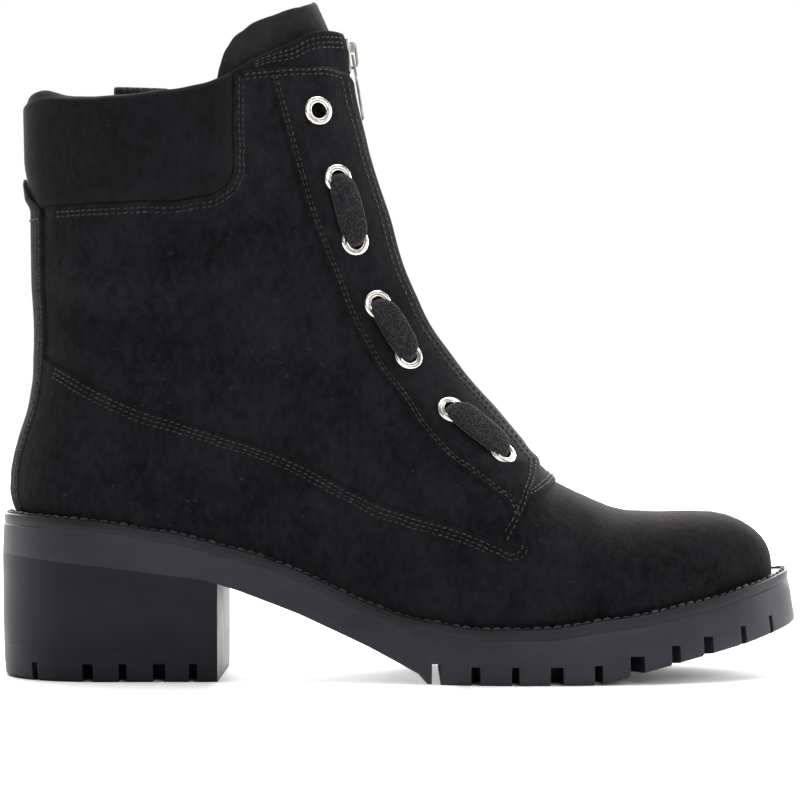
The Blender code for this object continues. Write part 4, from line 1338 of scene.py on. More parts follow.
@dataclass
class Upper:
    """The quarters, throat and lining as one hollow shell, and the vamp panel sewn over their lower part."""

    columns_a_side: int = 150
    strip_columns: int = 9
    vamp_rows: int = 46
    shaft_rows: int = 92
    tuck: float = 1.0
    panel_thick: float = 0.9
    panel_under: float = -0.3
    skive: float = 0.92
    skive_from: float = 24.0
    skive_run: float = 9.0
    panel_columns: int = 620
    panel_rows: int = 57
    front_half: float = 16.0
    front_drop: float = 0.012

    # Rounding of the shell's top edge, by the distance under it
    RIM = Table("below rounding", ((0.0, 0.8), (0.5, 0.12), (1.1, 0.0)))
    RIM_ROWS = (1.1, 0.5, 0.15, 0.0)
    # Rounding of the vamp's edge: height share by the distance inside it
    PANEL_RIM = Table("inside height", ((1.1, 1.0), (0.55, 0.97), (0.22, 0.8), (0.0, 0.35)))
    # Upper edge of the vamp and its long tails in the side view, from the back seam to the throat
    VAMP_EDGE = (
        (-120.0, 105.6), (-111.7, 102.0), (-92.8, 91.8), (-69.7, 83.2), (-47.1, 75.8), (-32.1, 70.2),
        (-13.5, 60.4), (3.4, 53.8), (20.0, 49.0), (31.7, 44.2), (36.2, 42.6), (38.0, 46.4), (39.6, 53.5),
        (41.6, 60.0), (43.6, 65.0),
    )
    # Rows of stitches under that edge: distance, and the share of the edge that they follow
    SEWN = ((1.3, 0.915), (2.75, 0.915), (4.2, 0.85))

    def edge(self, side: Side) -> SurfacePath:
        """The vamp's upper edge on one side, from the back seam to the throat."""
        return SurfacePath.through(self.VAMP_EDGE, side, 260)

    def shell(self) -> bpy.types.Object:
        """Hollow shell: grid over the form, open at the zip's slot, pierced at the eyelets.

        Returns:
            The piece.
        """
        low = np.linspace(0.0, FORM.throat, self.vamp_rows, endpoint=False)
        high = FORM.throat + (1.0 - FORM.throat) * np.linspace(0.0, 1.0, self.shaft_rows)
        rim = 1.0 - np.array(self.RIM_ROWS) / FORM.RISE_UNIT
        row = np.concatenate([low, high[:-1], rim])[:, None]
        away = np.linspace(1.0, 0.0, self.columns_a_side)[None, :]
        lateral = FORM.length(row, Side.LATERAL)
        medial = FORM.length(row, Side.MEDIAL)
        strip = np.linspace(-SLOT_HALF, SLOT_HALF, self.strip_columns + 2)[None, 1:-1]
        u = np.concatenate([
            -(SLOT_HALF + (lateral - SLOT_HALF) * away) / lateral,
            FORM.share(row, np.broadcast_to(strip, (len(row), self.strip_columns))),
            (SLOT_HALF + (medial - SLOT_HALF) * away[:, ::-1]) / medial,
        ], axis=1)[:, :-1]
        row = np.broadcast_to(row, u.shape)
        rounding = self.RIM.straight("rounding", (1.0 - row) * FORM.RISE_UNIT)
        along = np.abs(u) * np.where(u < 0.0, lateral, medial)
        outer = FORM.point(row, u, zip_lip(row, along) - rounding)
        inner = FORM.point(row, u, rounding - WALL)
        for wall in (outer, inner):
            wall[0, :, 2] -= self.tuck
        keep = clear_of_eyelets(np.concatenate([outer, outer[:, :1]], axis=1))
        first = self.columns_a_side - 1
        keep[self.vamp_rows:, first:first + self.strip_columns + 1] = False
        return make_sheet("upper_shell", outer, inner, (Finish.SUEDE, Finish.LINING), keep, wrap=True)

    def lift(self, points: Array) -> Array:
        """Height of the vamp's face over the form: full at the long edge, skived thin towards the throat."""
        thinner = smoothstep((points[..., 0] - self.skive_from) / self.skive_run)
        return self.panel_thick * (1.0 - self.skive * thinner)

    def vamp(self) -> bpy.types.Object:
        """Vamp panel: from the sole up to its sewn edge, all the way round.

        Returns:
            The piece.
        """
        u = np.linspace(-1.0, 1.0, self.panel_columns, endpoint=False)
        top = np.zeros(self.panel_columns)
        for side in Side:
            path = self.edge(side)
            order = np.argsort(np.abs(path.u))
            chosen = u * side.value >= 0.0
            top[chosen] = np.interp(np.abs(u[chosen]), np.abs(path.u)[order], path.row[order])
        front = np.abs(u * FORM.length(FORM.throat, Side.LATERAL)) < self.front_half
        top[front] = np.minimum(top[front], FORM.throat - self.front_drop)
        rise = FORM.point(top + FORM.STEP, u) - FORM.point(top - FORM.STEP, u)
        span = np.linalg.norm(rise, axis=1) / (2.0 * FORM.STEP)
        rim = top - self.PANEL_RIM.column("inside")[:, None] / span
        body = np.linspace(0.0, 1.0, self.panel_rows, endpoint=False)[:, None]
        row = np.concatenate([rim[0] * body, rim])
        u = np.broadcast_to(u, row.shape)
        edge = np.concatenate([np.ones(self.panel_rows), self.PANEL_RIM.column("height")])[:, None]
        outer = FORM.point(row, u, edge * self.lift(FORM.point(row, u)))
        inner = FORM.point(row, u, self.panel_under)
        for wall in (outer, inner):
            wall[0, :, 2] -= self.tuck
        return make_sheet("vamp_panel", outer, inner, (Finish.SUEDE,), wrap=True)

    def stitches(self) -> list[StitchRow]:
        """Three rows under the vamp's long edge, on both sides.

        Returns:
            The rows of stitches.
        """
        rows = []
        for side in Side:
            path = self.edge(side)
            for distance, until in self.SEWN:
                line = path.shifted(side.value * distance).part(14, int(until * len(path.row)) - 6)
                rows.append(line.points(self.lift(FORM.point(line.row, line.u))))
        return rows

    def build(self) -> list[StitchRow]:
        """Make the shell and the vamp.

        Returns:
            Their rows of stitches.
        """
        wear(self.shell(), "suede", "upper")
        wear(self.vamp(), "suede")
        return self.stitches()


@dataclass
class Collar:
    """Padded collar round the back of the shaft, rolled over the topline into the boot."""

    columns: int = 70
    shaft_rise: float = 205.0
    seam_lift: float = 0.1
    low_crown: float = 1.5
    low_run: float = 6.0
    high_crown: float = 1.8
    high_rise: float = 26.0
    high_run: float = 9.0
    settle: float = 0.12
    settle_waves: float = 23.0
    settle_rise: float = 9.0
    roll: float = 2.4
    roll_share: float = 1.7
    back_rise: float = 2.4
    turn_in: float = 15.0
    inside: float = 1.6
    lip: float = 0.95
    lip_under: float = -0.35

    # Front edge and lower seam in the side view, from the top of the front edge to the back seam
    FRONT_EDGE = (
        (-53.4, 194.6), (-53.5, 186.0), (-53.5, 178.0), (-53.2, 168.0), (-52.8, 160.0), (-52.4, 150.0),
    )
    SEAM = (
        (-53.3, 167.0), (-53.9, 161.4), (-57.4, 157.0), (-64.8, 154.6), (-82.6, 153.3), (-100.4, 152.8),
        (-113.9, 152.6), (-120.5, 152.5),
    )
    # Turned edge round the pad: height share by the distance from the pad
    LIP = Table("away height", (
        (0.0, 0.45), (0.12, 0.8), (0.4, 0.97), (0.8, 1.0), (1.5, 0.9), (2.4, 0.6), (3.4, 0.25), (4.4, 0.0),
    ))
    # Rows of stitches round the pad: distance from it and height
    SEWN = ((3.4, 0.25), (2.0, 0.68))

    def front_column(self, row: Array, side: Side) -> Array:
        """Column share of the front edge at rows, without its sign."""
        front = SurfacePath.through(self.FRONT_EDGE, side, 60).by_row()
        return np.interp(row, front.row, np.abs(front.u))

    def column(self, row: Array, along: Array, side: Side) -> Array:
        """Column shares of rows and of places from the front edge (0) to the back seam (1)."""
        start = self.front_column(row, side)
        return side.value * (start + (1.0 - start) * along)

    def seam_row(self, along: Array, side: Side) -> Array:
        """Row of the lower seam at places from the front edge (0) to the back seam (1).

        Args:
            along: The places.
            side: The side of the boot.

        Returns:
            The rows.
        """
        seam = SurfacePath.through(self.SEAM, side, 160)
        front = self.front_column(seam.row, side)
        share = np.clip((np.abs(seam.u) - front) / (1.0 - front), 0.0, 1.0)
        return np.interp(along, share, seam.row)

    def pad_half(self, side: Side) -> tuple[Array, Array, Array]:
        """One side of the pad, from the front edge to the back seam.

        From its seams the pad swells fast to a low crown and slowly to its full crown higher up. Half
        a circle then rolls it over the topline, and a straight lining ends it inside.

        Args:
            side: The side of the boot.

        Returns:
            Rows, columns and heights over the form.
        """
        even = np.linspace(0.0, 1.0, self.columns)
        along = 0.35 * smoothstep(even) + 0.65 * even
        up = np.concatenate([[0.0, 0.012, 0.03, 0.055, 0.085], np.linspace(0.12, 1.0, 24)])[:, None]
        angle = np.linspace(0.0, math.pi, 13)[1:, None]
        top = 1.0 - self.roll / FORM.RISE_UNIT * self.roll_share
        low = self.seam_row(along, side)
        row = low + (top - low) * up
        crest = smoothstep((along - 0.66) / 0.16) * (1.0 - 0.85 * smoothstep((along - 0.86) / 0.1))
        crest = 1.0 + self.back_rise / FORM.RISE_UNIT * crest
        rolled = top + (crest - top) * np.sin(angle) ** 0.75
        down = np.linspace(0.15, 1.0, 6)[:, None] * self.turn_in / FORM.RISE_UNIT * self.roll_share
        turned = np.broadcast_to(top - down, (len(down), len(low)))
        u = self.column(row, along, side)
        from_front = (np.abs(u) - np.abs(u[:, :1])) * FORM.length(row, side)
        above = (row - low) * self.shaft_rise
        behind = smoothstep((along - 0.74) / 0.26)
        low_crown = self.low_crown * (1.0 - 0.8 * behind)
        swell = low_crown * round_end(np.minimum(above, from_front) / self.low_run)
        high_crown = self.high_crown * (1.0 + 0.3 * behind)
        high_crown = high_crown * smoothstep(above / self.high_rise)
        swell = swell + high_crown * smoothstep(from_front / self.high_run)
        settle = self.settle * np.sin(along * self.settle_waves)[None] * np.exp(-above / self.settle_rise)
        lift = self.seam_lift + swell + settle
        inside = -(WALL + self.inside)
        over = 0.5 * (lift[-1] + inside) + 0.5 * (lift[-1] - inside) * np.cos(angle)
        rows = np.concatenate([row, rolled, turned])
        columns = np.concatenate([u, self.column(rolled, along, side), self.column(turned, along, side)])
        return rows, columns, np.concatenate([lift, over, np.full(turned.shape, inside)])

    def pad(self) -> bpy.types.Object:
        """Crowned pad: both sides joined at the back seam.

        Returns:
            The piece.
        """
        lateral, medial = (self.pad_half(side) for side in Side)
        row, u, lift = (np.concatenate([m[:, :-1], n[:, ::-1]], axis=1) for m, n in zip(medial, lateral))
        back = np.clip(lift - 0.8, -(WALL + 0.4), 0.0) - 0.2
        return make_panel("collar_pad", row, u, lift, back, Finish.PAD)

    def border(self, side: Side) -> SurfacePath:
        """The pad's border on one side: down the front edge and along the lower seam."""
        return SurfacePath.through(self.FRONT_EDGE[:3] + self.SEAM[:-1], side, 200)

    def edge(self) -> bpy.types.Object:
        """Turned edge of the quarter round the pad: proud at the pad, fading out into the quarter.

        Returns:
            The piece.
        """
        borders = {side: self.border(side) for side in Side}
        rows = []
        columns = []
        for distance in self.LIP.column("away")[::-1]:
            lateral, medial = (borders[side].shifted(-side.value * distance) for side in Side)
            rows.append(np.concatenate([medial.row, lateral.row[::-1]]))
            columns.append(np.concatenate([medial.u, lateral.u[::-1]]))
        row, u = np.array(rows), np.array(columns)
        lift = self.lip * self.LIP.column("height")[::-1, None]
        return make_panel("quarter_edge", row, u, lift, self.lip_under, Finish.SUEDE)

    def build(self) -> list[StitchRow]:
        """Make the pad and the edge round it.

        Returns:
            The rows of stitches that hold the pad.
        """
        wear(self.pad(), "padded suede", "collar")
        wear(self.edge(), "suede")
        rows = []
        for side in Side:
            path = self.border(side)
            for distance, lift in self.SEWN:
                rows.append(path.shifted(-side.value * distance).part(2, -6).points(lift))
        return rows


@dataclass
class Backstay:
    """Strip down the back seam, with a pointed tab lapped over the collar."""

    half_width: float = 16.4
    thick: float = 1.1
    seam_z: float = 152.0
    tab_rise: float = 11.2
    collar_lift: float = 1.7
    tab_flare: float = 0.8
    tab_point: float = 1.2
    lap_run: float = 4.5
    edge_round: tuple[float, float] = (0.8, 0.9)
    rise_unit: float = 150.0
    side_rows: tuple[float, float] = (1.5, 3.3)
    cross_row: float = 2.8

    # Places across one half of the strip, from its edge to the seam
    HALF = (-1.0, -0.97, -0.92, -0.84, -0.7, -0.52, -0.34, -0.17, 0.0)

    @staticmethod
    def back_row(z: float) -> float:
        """Row share of a height on the back seam."""
        line = FORM.read(FORM.grid, FORM.rows, np.full(FORM.ROWS, -1.0))
        return float(np.interp(z, line[:, 2], FORM.rows))

    def strip(self) -> bpy.types.Object:
        """Strip over the back seam: a grid across it and up to the tab's point, lifted over the collar.

        Returns:
            The piece.
        """
        half = np.array(self.HALF)
        share = np.concatenate([half, -half[-2::-1]])[None, :]
        seam = self.back_row(self.seam_z)
        peak = self.back_row(self.seam_z + self.tab_rise)
        top = seam + (peak - seam) * (1.0 - np.abs(share) ** self.tab_point)
        up = np.concatenate([np.linspace(0.0, 0.9, 76), np.linspace(0.91, 0.985, 14), [0.993, 0.998, 1.0]])
        up = up[:, None]
        row = top * up
        u = FORM.from_back(row, share * self.half_width * np.ones(row.shape))
        above = FORM.point(row, u)[..., 2] - self.seam_z
        over = smoothstep((above - 0.3) / self.lap_run)
        side_edge = round_end((1.0 - np.abs(share)) * self.half_width / self.edge_round[0])
        edge = side_edge * round_end((1.0 - up) * self.rise_unit / self.edge_round[1])
        under = self.collar_lift * over + self.tab_flare * smoothstep((above - 2.0) / self.tab_rise)
        face = under + self.thick * (0.35 + 0.65 * edge)
        return make_panel("backstay_strip", row, u, face, under - 0.4 * (1.0 - over), Finish.SUEDE)

    def build(self) -> list[StitchRow]:
        """Make the strip.

        Returns:
            Its two rows of stitches a side, and one across it under the collar.
        """
        wear(self.strip(), "suede", "backstay")
        rows = []
        row = np.linspace(0.02, self.back_row(self.seam_z) - 0.004, 160)
        for side in Side:
            for distance in self.side_rows:
                along = np.full(row.shape, side.value * (self.half_width - distance))
                rows.append(SurfacePath(row, FORM.from_back(row, along)).points(self.thick))
        across = np.linspace(-1.0, 1.0, 60) * (self.half_width - 1.0)
        row = np.full(across.shape, self.back_row(self.seam_z - self.cross_row))
        rows.append(SurfacePath(row, FORM.from_back(row, across)).points(self.thick))
        return rows


@dataclass
class Facing:
    """Eyestay on one side of the zip: eyelet row, double stitches and a tail sewn over the vamp."""

    side: Side
    skived: float = 0.7
    skive_run: float = 6.0
    tail_run: float = 0.09
    corner_rise: float = 0.8
    corner_row: float = 0.113
    corner_half: float = 0.012
    edge_round: float = 0.9
    front_edge: float = 5.3
    under: float = -0.2
    top_under: float = -0.3
    rise_unit: float = 235.0
    top_guess: float = 0.93
    top_drop: float = 0.012
    top_drop_span: tuple[float, float] = (9.0, 4.0)
    rear_top: float = 0.966
    rear_rows: tuple[float, float] = (1.3, 2.3)
    top_rows: tuple[float, float] = (1.4, 2.8)
    top_lap: float = 6.0

    # Rear edge from the tail's tip up, and front edge of the tail from its tip up, in the side view
    REAR = (
        (35.2, 52.6), (34.4, 56.4), (29.5, 60.9), (22.0, 66.5), (9.2, 77.8), (0.8, 89.6), (-13.8, 111.4),
        (-21.3, 129.0), (-27.6, 145.0), (-33.3, 162.4), (-37.8, 178.9), (-41.0, 190.0), (-43.4, 198.5),
    )
    TAIL = ((37.4, 50.0), (39.6, 55.6), (41.7, 60.9), (43.6, 65.3))
    CORNER = (36.6, 42.4)
    # Bend of the front edge over the throat: row above it, and length past the straight front edge
    BEND = Table("above further", ((0.002, 11.0), (0.012, 4.2), (0.024, 1.0), (0.04, 0.0), (0.7, 0.0)))
    # Two rows of stitches by the front edge: their tails in the side view
    SEWN_TAILS = {
        "near": (
            (33.8, 45.4), (34.9, 47.6), (36.2, 49.8), (37.3, 52.6), (38.9, 55.8), (39.8, 59.6), (41.0, 62.4),
            (42.2, 65.9),
        ),
        "far": (
            (33.1, 47.9), (34.6, 50.4), (36.1, 52.6), (37.2, 55.2), (38.0, 57.4), (38.9, 60.4), (40.2, 64.0),
        ),
    }
    # The same two rows above their tails: lengths from the front line by row
    SEWN = Table("row near far", (
        (0.374, 21, 26), (0.389, 18.2, 23.4), (0.404, 15.8, 21), (0.444, 13.8, 18.4), (0.484, 11.4, 15.4),
        (0.6, 9.6, 12.4), (0.8, 9.6, 12.4), (0.93, 9.8, 12.6),
    ))
    # Top edge in the side view, and the turned edge under it: height share by the distance
    TOP = ((-50.6, 195.4), (-45.0, 196.4), (-38.8, 197.2), (-30.0, 198.0), (-23.4, 198.2), (-19.4, 197.2))
    TOP_LIP = Table("away height", (
        (0.0, 0.45), (0.12, 0.8), (0.4, 0.97), (0.8, 1.0), (1.6, 0.9), (2.8, 0.5), (4.2, 0.0),
    ))

    def edges(self) -> tuple[Callable[[Array], Array], Callable[[Array], Array]]:
        """Rear and front edges as lengths along rows.

        Returns:
            Two functions of rows.
        """
        rear = SurfacePath.through(self.REAR, self.side, 220).by_row()
        tail = SurfacePath.through((self.CORNER,) + self.TAIL, self.side, 60).by_row()
        rows = np.concatenate([tail.row, FORM.throat + self.BEND.column("above")])
        front = np.concatenate([tail.along(self.side), self.front_edge + self.BEND.column("further")])
        rear_at = partial(np.interp, xp=rear.row, fp=rear.along(self.side))
        return rear_at, partial(np.interp, xp=rows, fp=front)

    def height(self, from_rear: Array, from_tip: Array) -> Array:
        """Height of the facing over the quarter: skived thin towards its rear edge and its tail.

        Args:
            from_rear: Lengths from the rear edge.
            from_tip: Rows from the tail's tip.

        Returns:
            The heights.
        """
        full = smoothstep(from_rear / self.skive_run) * smoothstep(from_tip / self.tail_run)
        corner = self.corner_rise * np.exp(-(((from_tip - self.corner_row) / self.corner_half) ** 2))
        return self.skived + (FACING_TOP + corner - self.skived) * full

    def top_row(self, along: Array) -> Array:
        """Rows of the top edge by length from the front line, drawn down a little beside the zip.

        Args:
            along: The lengths.

        Returns:
            The rows.
        """
        top = SurfacePath.through(self.TOP, self.side, 60)
        lengths = top.along(self.side)
        order = np.argsort(lengths)
        start, run = self.top_drop_span
        drop = self.top_drop * smoothstep((start - along) / run)
        return np.interp(along, lengths[order], top.row[order]) - drop

    def build(self) -> list[StitchRow]:
        """Make the facing between its edges, and the turned top edge behind it.

        Returns:
            Their rows of stitches.
        """
        rear_at, front_at = self.edges()
        low = float(SurfacePath.through(self.TAIL, self.side, 60).row.min()) + 0.002
        up = np.linspace(0.0, 1.0, 150)[:, None]
        across = np.linspace(0.1, 0.9, 26)
        across = np.concatenate([[0.0, 0.012, 0.03, 0.06], across, [0.94, 0.97, 0.988, 1.0]])
        guess = np.array([[self.top_guess]])
        high = self.top_row(front_at(guess) + (rear_at(guess) - front_at(guess)) * across)
        row = low + (high - low) * up
        along = front_at(row) + (rear_at(row) - front_at(row)) * across
        from_side = np.minimum(along - front_at(row), rear_at(row) - along)
        from_end = np.minimum(row - low, high - row) * self.rise_unit
        edge = round_end(np.minimum(from_side, from_end) / self.edge_round)
        lift = self.height(rear_at(row) - along, row - low) * (0.4 + 0.6 * edge) + zip_lip(row, along)
        u = FORM.share(row, self.side.value * along)
        word = self.side.word
        thing = make_panel(f"facing_{word}", row, u, lift, self.under, Finish.SUEDE, pierced=True)
        wear(thing, "suede", f"eyestay_{word}")
        row = np.linspace(low + 0.02, self.rear_top, 300)
        lines = [(row, rear_at(row) - distance) for distance in self.rear_rows]
        lines += [self.sewn_line(name) for name in self.SEWN_TAILS]
        rows = []
        for row, along in lines:
            lift = self.height(rear_at(row) - along, row - low) * smoothstep((row - low) / 0.03)
            path = SurfacePath(row, FORM.share(row, self.side.value * along))
            rows.append(path.points(lift + zip_lip(row, along)))
        return rows + self.top_edge(rear_at)

    def sewn_line(self, name: str) -> tuple[Array, Array]:
        """One row of stitches by the front edge, from the foot of its tail to the top.

        Args:
            name: Which of the two rows.

        Returns:
            Rows and lengths from the front line.
        """
        foot = SurfacePath.through(self.SEWN_TAILS[name], self.side, 60).by_row()
        rows = np.concatenate([foot.row, self.SEWN.column("row")])
        lengths = np.concatenate([foot.along(self.side), self.SEWN.column(name)])
        run = run_length(np.stack([rows * FORM.RISE_UNIT, lengths], axis=1))
        place = np.linspace(0.0, run[-1], 300)
        return np.interp(place, run, rows), np.interp(place, run, lengths)

    def top_edge(self, rear_at: Callable[[Array], Array]) -> list[StitchRow]:
        """Make the turned top edge of the quarter from the facing back to the collar.

        Args:
            rear_at: Length along rows to the facing's rear edge.

        Returns:
            Two rows of stitches below it.
        """
        line = SurfacePath.through(self.TOP, self.side, 120)
        lines = [line.shifted(self.side.value * distance) for distance in self.TOP_LIP.column("away")]
        behind = line.along(self.side) > rear_at(line.row) - self.top_lap
        row = np.array([p.row[behind] for p in lines])
        u = np.array([p.u[behind] for p in lines])
        lift = self.skived * self.TOP_LIP.column("height")[:, None]
        strip = make_panel(f"quarter_top_{self.side.word}", row, u, lift, self.top_under, Finish.SUEDE)
        wear(strip, "suede")
        rows = []
        for distance in self.top_rows:
            sewn = line.shifted(self.side.value * distance).part(1, -4)
            from_rear = rear_at(sewn.row) - sewn.along(self.side)
            rows.append(sewn.points(self.height(from_rear, np.ones(from_rear.shape))))
        return rows


@dataclass
class FrontPieces:
    """Throat tab, tongue and the sewn band at the top of the front."""

    tab_half: float = 44.0
    tab_thick: float = 1.2
    tab_top: float = 0.014
    tab_rise: float = 10.0
    tab_round: float = 0.9
    tab_under: float = -0.2
    tab_rows: tuple[float, float] = (1.8, 3.4)
    tongue_thick: float = 2.2
    tongue_lift: float = -6.3
    tongue_half: tuple[float, float] = (27.0, 57.0)
    tongue_foot: float = 0.03
    tongue_rise: float = 190.0
    tongue_round: float = 1.6
    band_span: tuple[float, float] = (8.0, 45.0)
    band_rows: tuple[float, float, float] = (2.0, 3.4, 4.8)
    band_rise: float = 215.0
    band_closing: tuple[float, float] = (26.0, 19.0)

    # Lower edge of the throat tab: its length up the front, by the length from the front line
    TAB_EDGE = Table("along up", (
        (0, 85.3), (8, 84.9), (15, 84.3), (20, 83.6), (25, 82.7), (30, 81.6), (36, 80.1), (44, 78.5),
    ))
    # Height of the tongue's top edge over the topline, by the length from the front line
    TONGUE_TOP = Table("along rise", (
        (0, 12.9), (8, 11.3), (14, 10.1), (20, 9.3), (27, 9.8), (34, 10.3), (41, 9.6), (48, 7.8), (53, 4.6),
        (57, 0.2),
    ))

    def tab(self) -> list[StitchRow]:
        """Make the tab across the foot of the zip, its lower edge bowed towards the toe.

        Returns:
            Its rows of stitches.
        """
        along = np.linspace(-self.tab_half, self.tab_half, 71)
        high = FORM.throat + self.tab_top
        low = self.TAB_EDGE.at("up", np.abs(along)) / FORM.front.length
        up = np.concatenate([[0.0, 0.03, 0.07, 0.13], np.linspace(0.2, 1.0, 12)])[:, None]
        row = low + (high - low) * up
        u = FORM.share(row, np.broadcast_to(along, row.shape))
        inside = np.minimum(up * self.tab_rise, self.tab_half - np.abs(along))
        lift = self.tab_thick * (0.25 + 0.75 * round_end(inside / self.tab_round))
        piece = make_panel("throat_tab_piece", row, u, lift, self.tab_under, Finish.SUEDE)
        wear(piece, "suede", "throat_tab")
        u = FORM.share(low, along)
        lines = [SurfacePath(low + distance / FORM.front.length, u) for distance in self.tab_rows]
        return [line.part(2, -2).points(self.tab_thick) for line in lines]

    def tongue(self) -> bpy.types.Object:
        """Tongue behind the zip: wider to the top, its top edge rounded off towards the sides.

        Returns:
            The piece.
        """
        low = FORM.throat - self.tongue_foot
        narrow, wide = self.tongue_half
        across = np.sin(0.5 * math.pi * np.linspace(-1.0, 1.0, 81))[None, :]
        high = 1.0 + self.TONGUE_TOP.at("rise", wide * np.abs(across)) / FORM.RISE_UNIT
        up = np.concatenate([np.linspace(0.0, 0.96, 96), [0.975, 0.985, 0.992, 0.997, 1.0]])[:, None]
        row = low + (high - low) * up
        half = narrow + (wide - narrow) * smoothstep((row - 0.6) / 0.4)
        u = FORM.share(row, half * across)
        inside = np.minimum((1.0 - up) * self.tongue_rise, (1.0 - np.abs(across)) * half)
        rounded = round_end(inside / self.tongue_round)
        face, back = (self.tongue_lift + 0.5 * self.tongue_thick * (1.0 + s * rounded) for s in (1.0, -1.0))
        return make_panel("tongue_piece", row, u, face, back, Finish.TONGUE, Finish.LINING)

    def band(self) -> list[StitchRow]:
        """Three rows of stitches under the top edge of the front, on both sides.

        Returns:
            The rows of stitches.
        """
        along = np.linspace(*self.band_span, 110)
        start, run = self.band_closing
        closing = 1.0 - 0.5 * smoothstep((along - start) / run)
        rows = []
        for side in Side:
            for distance in self.band_rows:
                row = 1.0 - distance * closing / self.band_rise
                path = SurfacePath(row, FORM.share(row, side.value * along))
                rows.append(path.points(zip_lip(row, along)))
        return rows

    def build(self) -> list[StitchRow]:
        """Make the tab and the tongue, and give all rows of stitches."""
        wear(self.tongue(), "suede", "tongue")
        return self.tab() + self.band()


# Zip, eyelets and laces


@dataclass
class Zip:
    """Zip up the front: woven tape, meshed teeth, slider and pull tab."""

    tape_lap: float = 0.6
    tape_lift: float = 0.6
    tape_under: float = 0.2
    rib: tuple[float, float, float] = (0.5, 2.6, 0.8)
    tooth_pitch: float = 1.25
    tooth_size: tuple[float, float, float] = (1.7, 0.48, 0.75)
    tooth_off: float = 0.55
    tooth_lift: float = 1.5
    tooth_square: float = 0.5
    weld_reach: float = 0.00001

    def tape(self) -> bpy.types.Object:
        """Woven tape behind the slot, with a low rib on each side of the teeth.

        Returns:
            The piece.
        """
        row = np.linspace(FORM.throat - 0.006, 0.992, 150)[:, None]
        along = np.linspace(-SLOT_HALF - self.tape_lap, SLOT_HALF + self.tape_lap, 23)[None, :]
        u = FORM.share(row, along * np.ones(row.shape))
        high, off, half = self.rib
        rib = high * np.exp(-(((np.abs(along) - off) / half) ** 2))
        back = -WALL - self.tape_under
        return make_panel("zip_tape", row, u, self.tape_lift - WALL + rib, back, Finish.ZIP_TAPE)

    def teeth(self) -> bpy.types.Object:
        """Teeth from both tapes, meshed in turn along the front line: rounded blocks on a small grid.

        Returns:
            The joined teeth.
        """
        share = np.linspace(FORM.throat + 0.006, 0.988, 400)
        run = run_length(FORM.point(share, np.zeros(len(share))))
        row = np.interp(np.arange(0.5, run[-1], self.tooth_pitch), run, share)
        turn = np.where(np.arange(len(row)) % 2 == 0, 1.0, -1.0)
        centre = FORM.point(row, np.zeros(len(row)), self.tooth_lift - WALL)
        up = unit(np.gradient(centre, axis=0))
        across = np.array([0.0, 1.0, 0.0]) * np.ones((len(row), 1))
        out = unit(np.cross(across, up))
        centre = centre + across * (self.tooth_off * turn)[:, None]
        lat = np.linspace(-0.5, 0.5, 6)[:, None] * math.pi
        lon = np.linspace(0.0, 2.0 * math.pi, 10, endpoint=False)[None, :]
        ball = (np.cos(lat) * np.cos(lon), np.cos(lat) * np.sin(lon), np.sin(lat) * np.ones(lon.shape))
        block = [np.sign(f) * np.abs(f) ** self.tooth_square for f in ball]
        shape = np.stack([b * size for b, size in zip(block, self.tooth_size)], axis=-1).reshape(-1, 3)
        axes = enumerate((across, up, out))
        points = centre[:, None] + sum(axis[:, None] * shape[None, :, k, None] for k, axis in axes)
        base = (np.arange(len(row)) * len(shape))[:, None, None]
        faces = (grid_faces(lat.size, lon.size, wrap_columns=True)[None] + base).reshape(-1, 4)
        return make_object("zip_teeth", points.reshape(-1, 3), [faces], [Finish.ZIP_TEETH])

    def metal(self, node: str, name: str, width: float) -> bpy.types.Object:
        """A cast metal piece: its solid, merged, with rounded edges.

        Args:
            node: Name of the solid.
            name: Name of the piece.
            width: Width of the rounded edges.

        Returns:
            The piece.
        """
        thing = bpy.data.objects.new(name, bpy.data.objects[node].data.copy())
        bpy.context.scene.collection.objects.link(thing)
        weld = thing.modifiers.new("weld", "WELD")
        weld.merge_threshold = self.weld_reach
        flat = thing.modifiers.new("flat faces", "DECIMATE")
        flat.decimate_type = "DISSOLVE"
        flat.angle_limit = math.radians(3.0)
        bevel(thing, width, 3, 30.0)
        mesh = applied(thing).data
        mesh.materials.clear()
        mesh.materials.append(Finish.ZIP_METAL.material)
        mesh.polygons.foreach_set("material_index", np.zeros(len(mesh.polygons), dtype=np.int32))
        mesh.shade_smooth()
        mesh.set_sharp_from_angle(angle=math.radians(40.0))
        return thing

    def build(self) -> None:
        """Make the tape, teeth, slider and pull."""
        wear(self.tape(), "zip", "zip")
        wear(self.teeth(), "zip")
        wear(self.metal("zip_slider", "zip_slider_body", 0.18), "nickel", "zip_slider")
        wear(self.metal("zip_pull", "zip_pull_tab", 0.22), "nickel", "zip_pull", body=PULL)


